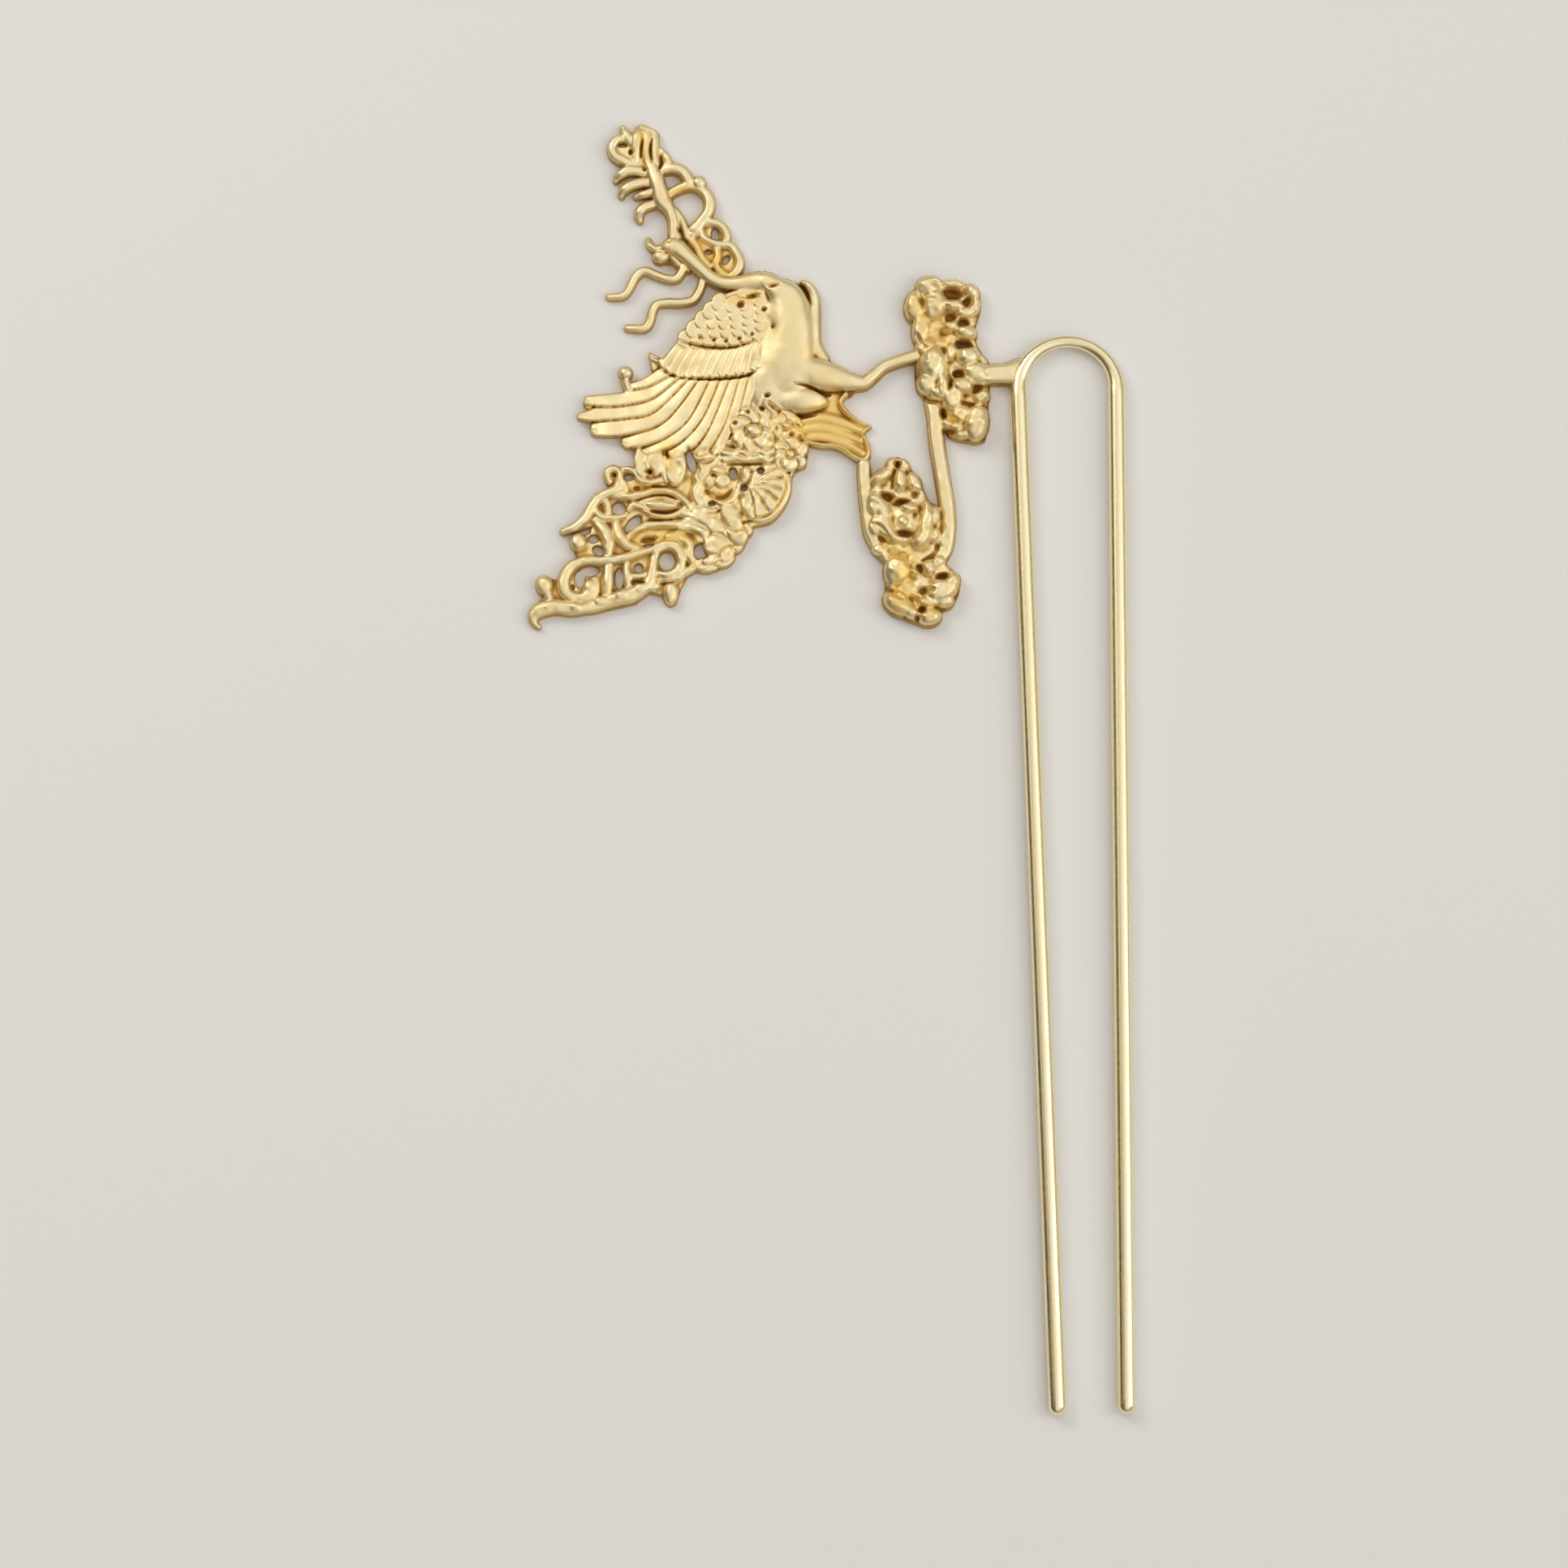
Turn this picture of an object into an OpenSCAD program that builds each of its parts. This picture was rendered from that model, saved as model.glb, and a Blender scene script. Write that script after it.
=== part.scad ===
// Two-prong hair stick: a flat-backed openwork phoenix and peony casting on a bent wire fork.
// It lies on its back. Prong tips point to -Y, the bird is on the -X side, the floor is z = 0.
// Millimetres. The origin is under the middle of the whole object.

/* [Fork] */
// Diameter of the fork wire
wire_d = 2.2; // [1.8:0.1:2.6]
// Spacing of the two wire centres at the arch
prong_spacing = 12.2; // [11:0.1:13]
// Length of each straight prong
prong_length = 126.5; // [110:0.1:130]
// Angle by which each prong leans in towards the other
prong_lean = 0.85; // [0.5:0.05:1.2]
// Angle of the fork's own axis from the Y direction
fork_turn = 1; // [0:0.1:2]

/* [Casting] */
// Thickness of the plate under the relief
plate = 0.9; // [0.7:0.05:1.1]
// Height of the body at its crown
body_top = 3; // [2.6:0.1:3.4]
// Height of the wing feathers at the shoulder
wing_top = 2; // [1.6:0.1:2.4]
// Height of the two blossoms
blossom_top = 2.9; // [2.6:0.1:3.3]
// Width of the round bars that hold the lower blossom
bar_w = 1.9; // [1.6:0.1:2.2]
// Gap between the casting and the fork wire where the arm grips it
seat_gap = 0.1; // [0.05:0.05:0.2]

/* [Hidden] */
gold = [0.93, 0.79, 0.48];
deep_gold = [0.85, 0.66, 0.25];
wire_r = wire_d / 2;
arch_r = prong_spacing / 2;
shoulder = [23.65, 46.9];
arch_place = [shoulder[0] + arch_r, shoulder[1]];
ring_h = 0.5;
ring_proud = 0.03;

// Share of width and share of height for each corner of a scroll's section
ridge = [[-0.5, 0], [0.5, 0], [0.36, 1], [-0.36, 1]];
// The same for a rounder bar or limb
crown = [[-0.46, 0], [0.46, 0], [0.5, 0.42], [0.4, 0.78], [0.17, 1], [-0.17, 1], [-0.4, 0.78], [-0.5, 0.42]];

// Value on the smooth curve through b and c, with a and d as their neighbours
function between(a, b, c, d, t) =
    0.5 * (2 * b + (c - a) * t + (2 * a - 5 * b + 4 * c - d) * t * t
        + (3 * b - a - 3 * c + d) * t * t * t);

// Rows with extra ones set between them on a smooth curve
function smooth(rows, steps) = [
    for (i = [0 : len(rows) - 2], k = [0 : steps - 1])
        between(rows[max(i - 1, 0)], rows[i], rows[i + 1], rows[min(i + 2, len(rows) - 1)], k / steps),
    rows[len(rows) - 1]
];

// Point a share t of the way along a list of points
function along(points, t) =
    let (
        place = t * (len(points) - 1),
        i = min(floor(place), len(points) - 2),
        rest = place - i
    )
    points[i] * (1 - rest) + points[i + 1] * rest;

function middle(points) = [for (p = points) 1] * points / len(points);

// Unit vector across the route at row i
function across(rows, i) =
    let (
        ahead = rows[min(i + 1, len(rows) - 1)],
        behind = rows[max(i - 1, 0)],
        run = [ahead[0] - behind[0], ahead[1] - behind[1]]
    )
    [-run[1], run[0]] / norm(run);

// Solid swept along rows of [x, y, width, top], flat underneath
module sweep(rows, section = ridge) {
    n = len(section);
    last = len(rows) - 1;
    points = [
        for (i = [0 : last], corner = section)
            let (side = across(rows, i) * corner[0] * rows[i][2])
            [rows[i][0] + side[0], rows[i][1] + side[1], rows[i][3] * corner[1]]
    ];
    walls = [
        for (i = [0 : last - 1], k = [0 : n - 1])
            let (a = i * n + k, b = i * n + (k + 1) % n)
            each [[a, a + n, b], [b, a + n, b + n]]
    ];
    start = [for (k = [0 : n - 1]) k];
    end = [for (k = [0 : n - 1]) last * n + n - 1 - k];
    polyhedron(points, concat([start], walls, [end]), convexity = 6);
}

// Low mound over an outline: upright to the side height, then sloped up to a peak
module mound(outline, top, side = 0.5) {
    n = len(outline);
    centre = middle(outline);
    points = [
        for (z = [0, side * top], p = outline) [p[0], p[1], z],
        [centre[0], centre[1], top]
    ];
    walls = [
        for (k = [0 : n - 1])
            let (next = (k + 1) % n)
            each [[k, k + n, next], [next, k + n, next + n], [k + n, 2 * n, next + n]]
    ];
    polyhedron(points, concat([[for (k = [0 : n - 1]) k]], walls), convexity = 2);
}

// Corners of an oval, turned by an angle
function oval(x, y, length, width, turn = 0, n = 10) = [
    for (k = [0 : n - 1])
        let (a = 360 * k / n, u = length / 2 * cos(a), v = width / 2 * sin(a))
        [x + u * cos(turn) - v * sin(turn), y + u * sin(turn) + v * cos(turn)]
];

// Round or oval bead
module bead(x, y, d, top, width = 0, turn = 0) {
    mound(oval(x, y, d, width > 0 ? width : d, turn, 7), top, 0.6);
}

// Rolled petal seen from above: an oval dome with a small flat crown
module dome(x, y, length, width, turn, top) {
    n = 8;
    rim = oval(x, y, length, width, turn, n);
    brow = oval(x, y, length * 0.58, width * 0.58, turn, n);
    points = [
        for (p = rim) [p[0], p[1], 0],
        for (p = rim) [p[0], p[1], top * 0.6],
        for (p = brow) [p[0], p[1], top]
    ];
    walls = [
        for (ring = [0, 1], k = [0 : n - 1])
            let (a = ring * n + k, b = ring * n + (k + 1) % n)
            each [[a, a + n, b], [b, a + n, b + n]]
    ];
    floor_face = [for (k = [0 : n - 1]) k];
    crown_face = [for (k = [0 : n - 1]) 3 * n - 1 - k];
    polyhedron(points, concat([floor_face], walls, [crown_face]), convexity = 2);
}

// Petal that grows from a root towards an angle: narrow at the root, full near its rim
module petal(x, y, turn, length, width, top) {
    outline = [[1, 0.22], [0.65, 0.5], [0, 0.25], [0, -0.25], [0.65, -0.5], [1, -0.22]];
    mound(
        [for (p = outline)
            let (u = p[0] * length, v = p[1] * width)
            [x + u * cos(turn) - v * sin(turn), y + u * sin(turn) + v * cos(turn)]],
        top, 0.6
    );
}

// Plate with pierced holes
module pierced(outline, holes, thick = plate) {
    linear_extrude(thick)
        difference() {
            polygon(outline);
            for (h = holes)
                translate([h[0], h[1]]) rotate(h[4]) scale([h[2], h[3]]) circle(0.5, $fn = 10);
        }
}

// Scroll drawn smooth from its rows: short tables get extra rows, long ones are close enough
module scroll(rows, section = ridge) {
    sweep(smooth(rows, len(rows) > 5 ? 1 : 2), section);
}

// FORK

// Straight wire with a round tip, set into a faint ring at the foot of the arch
module prong(r, length, way) {
    translate([arch_r, 0, 0])
        rotate([way * 90, 0, 0]) {
            rotate_extrude($fn = 48)
                polygon([[0, -ring_h / 2], [r - 2 * ring_proud, -ring_h / 2], [r + ring_proud, 0],
                    [r - 2 * ring_proud, ring_h / 2], [0, ring_h / 2]]);
            translate([0, 0, ring_h / 8]) cylinder(r = r, h = length - ring_h / 8, $fn = 48);
            translate([0, 0, length]) sphere(r, $fn = 48);
        }
}

// Whole wire in its place: a bent arch and two prongs
module wire(r, length) {
    bend = 180 + 2 * prong_lean;
    translate([arch_place[0], arch_place[1], wire_r + ring_proud])
        rotate([0, 0, fork_turn - prong_lean]) {
            rotate_extrude(angle = bend, $fn = 96)
                translate([arch_r, 0]) circle(r, $fn = 48);
            prong(r, length, 1);
            rotate([0, 0, bend]) prong(r, length, -1);
        }
}

module fork() {
    color(gold) wire(wire_r, prong_length);
}

// CREST AND HEAD

module crest() {
    flower = [[-27.7, 77.4], [-27.3, 78.5], [-26.2, 79.1], [-25.7, 80.6], [-25.1, 80.2], [-24.7, 79.7],
        [-24, 80.3], [-23.2, 80.8], [-22.3, 80.5], [-21.5, 80.1], [-21.3, 79.2], [-21.1, 78],
        [-20.6, 78], [-19.6, 76.1], [-20, 75.2], [-22.6, 75.4], [-24.8, 75.4], [-26.4, 76.1], [-27.4, 76.7]];
    pierced(flower, [[-25.5, 78.2, 1.5, 0.5, 5]]);
    curls = [
        [[-24.9, 78.9, 1, 1.4], [-26.4, 78.9, 1.1, 1.6], [-27.1, 77.8, 1.2, 1.7], [-26.8, 76.8, 1.2, 1.7],
            [-25.6, 76.2, 1.2, 1.6], [-24, 75.4, 0.9, 1.4]],
        [[-25.6, 80.5, 0.5, 1.2], [-25.2, 79.5, 1.1, 1.6], [-24.6, 78.4, 1, 1.5]],
        [[-23.3, 80.6, 1, 1.3], [-23.6, 79.2, 1.7, 1.8], [-24, 77.6, 1.4, 1.7], [-24.1, 75.9, 1, 1.4]],
        [[-22.5, 80.5, 0.6, 1.2], [-22.4, 79, 1.1, 1.6], [-22.7, 77.4, 1.2, 1.7], [-22.5, 75.8, 1.2, 1.5]],
        [[-21.4, 79.9, 0.6, 1.2], [-21.6, 78.8, 0.9, 1.5], [-21.8, 77.2, 0.9, 1.6], [-21.5, 75.6, 1, 1.5]],
        [[-20.8, 77.8, 0.5, 1.2], [-20.3, 76.8, 0.9, 1.6], [-19.9, 75.8, 0.9, 1.6], [-20.6, 75, 1, 1.5]],
        [[-26.8, 73.4, 0.5, 1.1], [-26.1, 74.2, 1, 1.5], [-25, 74.8, 1.2, 1.7], [-23.8, 74.8, 1.1, 1.6],
            [-22.4, 74.4, 1, 1.4]],
        [[-26, 71.3, 0.5, 1.1], [-25.6, 72.3, 1, 1.5], [-24.6, 73.1, 1.1, 1.6], [-23.2, 73.5, 1.1, 1.6],
            [-21.6, 73.4, 1, 1.4]],
        [[-24.2, 71.5, 0.6, 1.1], [-23.2, 71.7, 0.9, 1.5], [-22.2, 72.1, 1, 1.6], [-21, 72.6, 0.9, 1.4]],
        [[-23.6, 68.1, 0.6, 1.1], [-23.7, 69.3, 1.2, 1.6], [-23, 70.3, 1.1, 1.6], [-21.2, 70.9, 1.1, 1.4]],
        [[-22.3, 75.8, 1.4, 1.6], [-21.5, 74.2, 1.8, 1.9], [-21, 72.6, 1.8, 2], [-20.7, 71.2, 2.1, 2],
            [-19.7, 69.8, 1.4, 1.9], [-19.2, 68.4, 1.4, 1.9], [-19.1, 66.8, 1.5, 1.9], [-18.9, 65.2, 1.8, 1.9]],
        [[-20.8, 74.8, 0.9, 1.5], [-19.4, 75.2, 1.3, 1.7], [-18.2, 74.8, 1.4, 1.7], [-17.5, 73.8, 1.4, 1.7],
            [-17.6, 72.9, 1.1, 1.6], [-18.6, 72.3, 0.8, 1.5], [-20.2, 71.9, 0.8, 1.4]],
        [[-18, 72.7, 0.9, 1.5], [-16.5, 72.8, 1.1, 1.6], [-15.3, 72, 1.2, 1.7], [-14.8, 70.8, 1.3, 1.8],
            [-15, 69.5, 1.2, 1.8], [-15.8, 68.4, 1.1, 1.7], [-16.5, 67.4, 1.6, 1.8], [-16.9, 66.6, 0.8, 1.4]],
        [[-20.2, 70.9, 0.8, 1.4], [-18.9, 69.5, 0.9, 1.6], [-18, 68, 0.9, 1.6], [-17.6, 66.4, 0.8, 1.4]],
        [[-15.6, 68, 0.9, 1.4], [-14.6, 68.4, 1, 1.6], [-13.4, 68, 1, 1.6], [-12.6, 66.9, 1, 1.6],
            [-12.6, 65.4, 0.9, 1.4]],
        [[-15.9, 67.4, 0.9, 1.4], [-15.2, 66.2, 0.8, 1.5], [-13.8, 65.5, 0.9, 1.6], [-12.2, 65.3, 1, 1.6],
            [-11.3, 64.4, 1, 1.6], [-10.9, 63.1, 1, 1.6], [-11.3, 61.9, 1, 1.5], [-12.6, 61, 0.9, 1.4]],
        [[-14, 65.4, 0.8, 1.4], [-13.6, 64, 0.9, 1.5], [-13.9, 62.9, 0.9, 1.5], [-13.2, 61.8, 1, 1.5],
            [-12.2, 61, 1, 1.4]]
    ];
    for (c = curls) scroll(c);
    bead(-16.1, 73.4, 1.7, 1.8);
    loops = [[-16.9, 67], [-15.6, 68.8], [-14.1, 68.6], [-12.9, 67.7], [-12.4, 66.2], [-11, 64.9],
        [-10.6, 63], [-11.3, 61.6], [-13, 60.8], [-14.6, 61.8], [-17.6, 64.2]];
    pierced(loops, [[-14.2, 66.7, 0.8, 1.8, 5], [-14.9, 64.2, 0.9, 0.6, -10], [-12.7, 63.5, 0.6, 0.8, -30]]);
}

module head() {
    neck = [[-19.8, 65.6, 1.4, 1.7], [-18.8, 64.9, 2, 2.2], [-17.4, 63.5, 1.4, 2.1], [-16, 62.3, 1.2, 2],
        [-14.7, 61.2, 1.2, 2], [-13.3, 60.4, 1.2, 2], [-11.6, 60.2, 1.1, 2.1], [-9.8, 60.5, 1.6, 2.4],
        [-8, 60.6, 2.3, 2.7], [-6.2, 59.4, 3, 2.6]];
    scroll(neck, crown);
    bead(-19.3, 65.1, 2.6, 2.3, 2, 10);
    scroll([[-22.3, 65.9, 0.5, 1], [-22.2, 65.3, 0.8, 1.4], [-21.3, 65, 0.7, 1.5], [-20, 65.4, 1, 1.8]]);
    bead(-20.9, 63.6, 1.9, 1.7, 1.5, 10);
    throat = [[-20.9, 64.2], [-20.6, 63], [-19.4, 62.9], [-18.2, 62.6], [-16.9, 62.6], [-15.6, 60.6], [-14.2, 60.4],
        [-16.4, 63.6], [-18.2, 65]];
    linear_extrude(plate) polygon(throat);
}

module ribbons() {
    upper = [[-17.4, 63.6, 1, 1.6], [-18.1, 62.2, 0.9, 1.6], [-18.9, 61.1, 0.9, 1.5], [-20.2, 61.1, 0.9, 1.5],
        [-21.5, 61.6, 0.9, 1.4], [-22.9, 62.2, 0.9, 1.4], [-24, 61.3, 0.9, 1.4], [-24.8, 59.7, 0.8, 1.3],
        [-25.6, 58.9, 0.8, 1.2], [-27.4, 58.8, 0.6, 1]];
    lower = [[-15.6, 61, 1, 1.6], [-16, 59.6, 1, 1.6], [-16.8, 58.4, 0.9, 1.5], [-18.4, 58, 0.9, 1.5],
        [-20, 58, 0.9, 1.4], [-21.3, 57.8, 0.9, 1.4], [-21.9, 56.8, 0.9, 1.4], [-22.2, 55.6, 0.9, 1.3],
        [-22.9, 54.8, 0.9, 1.2], [-25.1, 54.8, 0.7, 1]];
    for (r = [upper, lower]) scroll(r);
}

// BODY

// Thigh and leg, whose foot sits in a socket of the upper blossom
module leg(grow) {
    rows = [[-4.4, 50.4, 2.6, 2.2], [-2, 49, 4, 2.6], [0.4, 48.4, 3.6, 2.5], [2.6, 47.9, 2.5, 2.3],
        [4.4, 47.7, 1.8, 2], [5.6, 48.6, 1.6, 1.9], [6.8, 49.7, 1.5, 1.8], [8.4, 50.4, 1.5, 1.8],
        [10, 50.9, 1.5, 1.8], [12 + grow, 51.4 + grow / 4, 1.6, 1.8]];
    translate([0, 0, -grow])
        scroll([for (r = rows) [r[0], r[1], r[2] + 2 * grow, r[3] + 2 * grow]], crown);
}

module torso() {
    axis = [[-7.2, 60.8, 1.6, 2], [-5.6, 59.2, 4.6, 2.7], [-4.7, 57, 5.6, body_top], [-4.5, 54, 5.8, body_top],
        [-4.8, 51, 6.8, body_top], [-5.2, 48.4, 7, 2.7], [-5.8, 46.2, 4.6, 2]];
    scroll(axis, crown);
    leg(0);
    dome(-3.7, 45.5, 6.6, 3.5, -7, 2.6);
    back = [[-3.4, 60.8, 0.5, 1.2], [-2.3, 60.1, 0.8, 1.6], [-1.5, 58.6, 0.9, 1.6], [-1.2, 56.4, 0.9, 1.6],
        [-1.1, 54, 0.9, 1.6], [-0.8, 52, 0.8, 1.5], [0.3, 50.4, 0.7, 1.4]];
    scroll(back);
    filler = [[-6, 60.2], [-3, 60.2], [-1.7, 59], [-1.2, 56], [-1.1, 53], [-0.4, 51], [3, 49], [3, 46.2],
        [-1, 45.4], [-4, 45], [-7.4, 46], [-7.6, 52]];
    linear_extrude(plate) polygon(filler);
}

module leaf() {
    outline = [[-3.2, 43.4], [-1.2, 43.8], [0.2, 44.6], [-0.4, 46], [1.2, 46.8], [3, 46.6], [1.7, 45.4], [2.3, 44.1],
        [3.4, 43], [5.5, 42.3], [4.7, 41.6], [4.5, 41], [5.2, 39.9], [5.3, 38.3], [4.9, 37.4], [3.9, 37.5],
        [2.6, 38.3], [1, 39.3], [-1.4, 39.5], [-3, 40.1], [-3.9, 41.4]];
    color(deep_gold) {
        linear_extrude(plate) polygon(outline);
        rim = [[-3.6, 42, 0.7, 1.6], [-2.8, 40.4, 0.7, 1.7], [-1.2, 39.7, 0.7, 1.8], [1.2, 39.6, 0.7, 1.8],
            [2.9, 38.4, 0.7, 1.7], [4.4, 37.8, 0.7, 1.6], [5, 39, 0.6, 1.6], [4.4, 40.9, 0.6, 1.6]];
        upper_rim = [[5.4, 42.3, 0.3, 1.2], [4, 42.6, 0.6, 1.6], [2.4, 43.8, 0.7, 1.8], [1.5, 45.2, 0.7, 1.8],
            [2.2, 46.3, 0.6, 1.8]];
        ribs = [
            [[-3.2, 42.8, 0.7, 1.4], [-0.6, 43.2, 1, 1.7], [1.6, 42.6, 1, 1.7], [3.9, 41.8, 0.6, 1.4]],
            [[-3.3, 41.8, 0.7, 1.3], [-0.6, 41.9, 1, 1.6], [1.8, 41.2, 1, 1.6], [4, 40.4, 0.6, 1.4]],
            [[-2.9, 40.8, 0.6, 1.3], [-0.5, 40.8, 0.8, 1.5], [1.8, 40.2, 0.8, 1.5], [4.2, 38.8, 0.6, 1.4]]
        ];
        for (r = concat([rim, upper_rim], ribs)) scroll(r);
    }
}

// WING

// Long feathers, each from its tip to where the coverts overlap it
function primaries() = [
    [[-24.6, 47.2, 0.8, 1.2], [-22.6, 47.8, 1, 1.4], [-20.8, 48.8, 1, 1.6], [-19, 49.6, 1, 1.7]],
    [[-30.6, 45.5, 1, 1.1], [-27.6, 45.6, 1.4, 1.4], [-24.8, 45.9, 1.4, 1.5], [-22.2, 46.5, 1.2, 1.6],
        [-19.2, 48.4, 1, 1.7]],
    [[-31.4, 43.5, 0.8, 1.1], [-28.4, 43.9, 1.6, 1.4], [-25, 44.2, 1.6, 1.5], [-22, 44.8, 1.4, 1.6],
        [-17.9, 48.4, 1, 1.7]],
    [[-29.6, 41.9, 1.8, 1.1], [-27.4, 42.1, 1.9, 1.4], [-24.6, 42.4, 1.7, 1.5], [-20.8, 43.7, 1.4, 1.6],
        [-16.6, 48.4, 1, 1.7]],
    [[-25.2, 40.2, 1.4, 1.1], [-22.8, 40.9, 1.6, 1.4], [-20.6, 41.7, 1.4, 1.5], [-18.2, 43.6, 1.3, 1.6],
        [-15.2, 48.4, 1, 1.7]],
    [[-23, 39.4, 1, 1.1], [-20.6, 40.3, 1.4, 1.4], [-18.6, 41.4, 1.4, 1.5], [-16.4, 44, 1.3, 1.6],
        [-14.2, 48.4, 1, 1.7]],
    [[-20, 39, 1.1, 1.1], [-17.8, 40.4, 1.4, 1.4], [-16.2, 42, 1.3, 1.5], [-14.8, 44.4, 1.2, 1.6],
        [-13, 48.4, 1, 1.7]],
    [[-16.5, 39.2, 1.2, 1.1], [-15, 41.2, 1.4, 1.4], [-13.7, 43.6, 1.3, 1.5], [-11.8, 48.6, 1, 1.7]],
    [[-14.6, 39.4, 1.2, 1.1], [-13.4, 41.6, 1.4, 1.4], [-12.3, 44, 1.3, 1.5], [-10.6, 48.8, 1, 1.7]],
    [[-12.6, 41.2, 1.2, 1.1], [-11.4, 44, 1.3, 1.5], [-9.6, 49, 1.1, 1.8]],
    [[-10.4, 43.4, 1.2, 1.1], [-9.5, 46, 1.3, 1.6], [-8.3, 49.4, 1.1, 1.9]]
];

module wing() {
    outline = [[-7, 59.2], [-13.4, 58.8], [-14.2, 57.4], [-15.4, 56], [-17.2, 54.8], [-18.4, 53.2], [-19.2, 51.3],
        [-20.6, 50.8], [-22, 51.6], [-22.2, 50.4], [-21.9, 49], [-22.8, 48.4], [-24.6, 47.9], [-25.8, 46.3],
        [-30.4, 46], [-30.6, 45], [-30, 44.4], [-31.4, 43.6], [-30.6, 43], [-29.6, 42.8], [-29.6, 41.1],
        [-25.8, 41], [-25.2, 39.8], [-23.8, 39.2], [-17, 38.8], [-8, 42], [-6.6, 46]];
    linear_extrude(plate) polygon(outline);
    for (f = primaries()) scroll(f);

    lower_edge = [[-20.6, 50.2], [-18.6, 48.6], [-15.6, 48.3], [-12.2, 48.5], [-10, 49.2], [-7.8, 50]];
    middle_edge = [[-18.8, 52.4], [-16.6, 52.1], [-14, 51.7], [-11.6, 51.6], [-9.6, 52], [-7.6, 53.4]];
    covert_count = 11;
    for (i = [0 : covert_count - 1]) {
        tip = along(lower_edge, (i + 0.3) / covert_count);
        root = along(middle_edge, (i + 0.9) / covert_count);
        sweep([[tip[0], tip[1], 0.9, 1.6], [(tip[0] + root[0]) / 2, (tip[1] + root[1]) / 2, 1.2, wing_top],
            [root[0], root[1], 1.2, wing_top]]);
    }

    // Small feathers of the shoulder, in rows like scales
    coverts = [[-20.2, 50.4], [-18.4, 49], [-15.6, 48.6], [-12.2, 48.8], [-10, 49.4], [-7, 50.4], [-7, 59],
        [-13.2, 58.6], [-15.2, 56], [-17, 54.8], [-18.2, 53.2], [-19, 51.4]];
    linear_extrude(1.3) polygon(coverts);
    scale_rows = [
        [[-17.3, 53.2], [-8.2, 53.6], 7],
        [[-16, 54.8], [-8, 55.2], 6],
        [[-14.4, 56.3], [-8, 56.7], 5],
        [[-12.9, 57.7], [-8.2, 58], 4]
    ];
    for (row = scale_rows, i = [0 : row[2] - 1]) {
        place = row[0] + (row[1] - row[0]) * i / (row[2] - 1);
        bead(place[0], place[1], 1.9, wing_top * 0.9, 2);
    }

    scroll([[-22.1, 51.6, 0.4, 1.1], [-21.9, 50.8, 0.7, 1.4], [-20.6, 50.3, 0.9, 1.6], [-19, 51, 0.9, 1.7]]);
    scroll([[-25.2, 49, 1.6, 1.6], [-25.2, 48, 1.1, 1.5], [-24.8, 46.8, 1.1, 1.5]]);
    bead(-25.2, 49, 1.7, 1.8);
}

// TAIL

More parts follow.
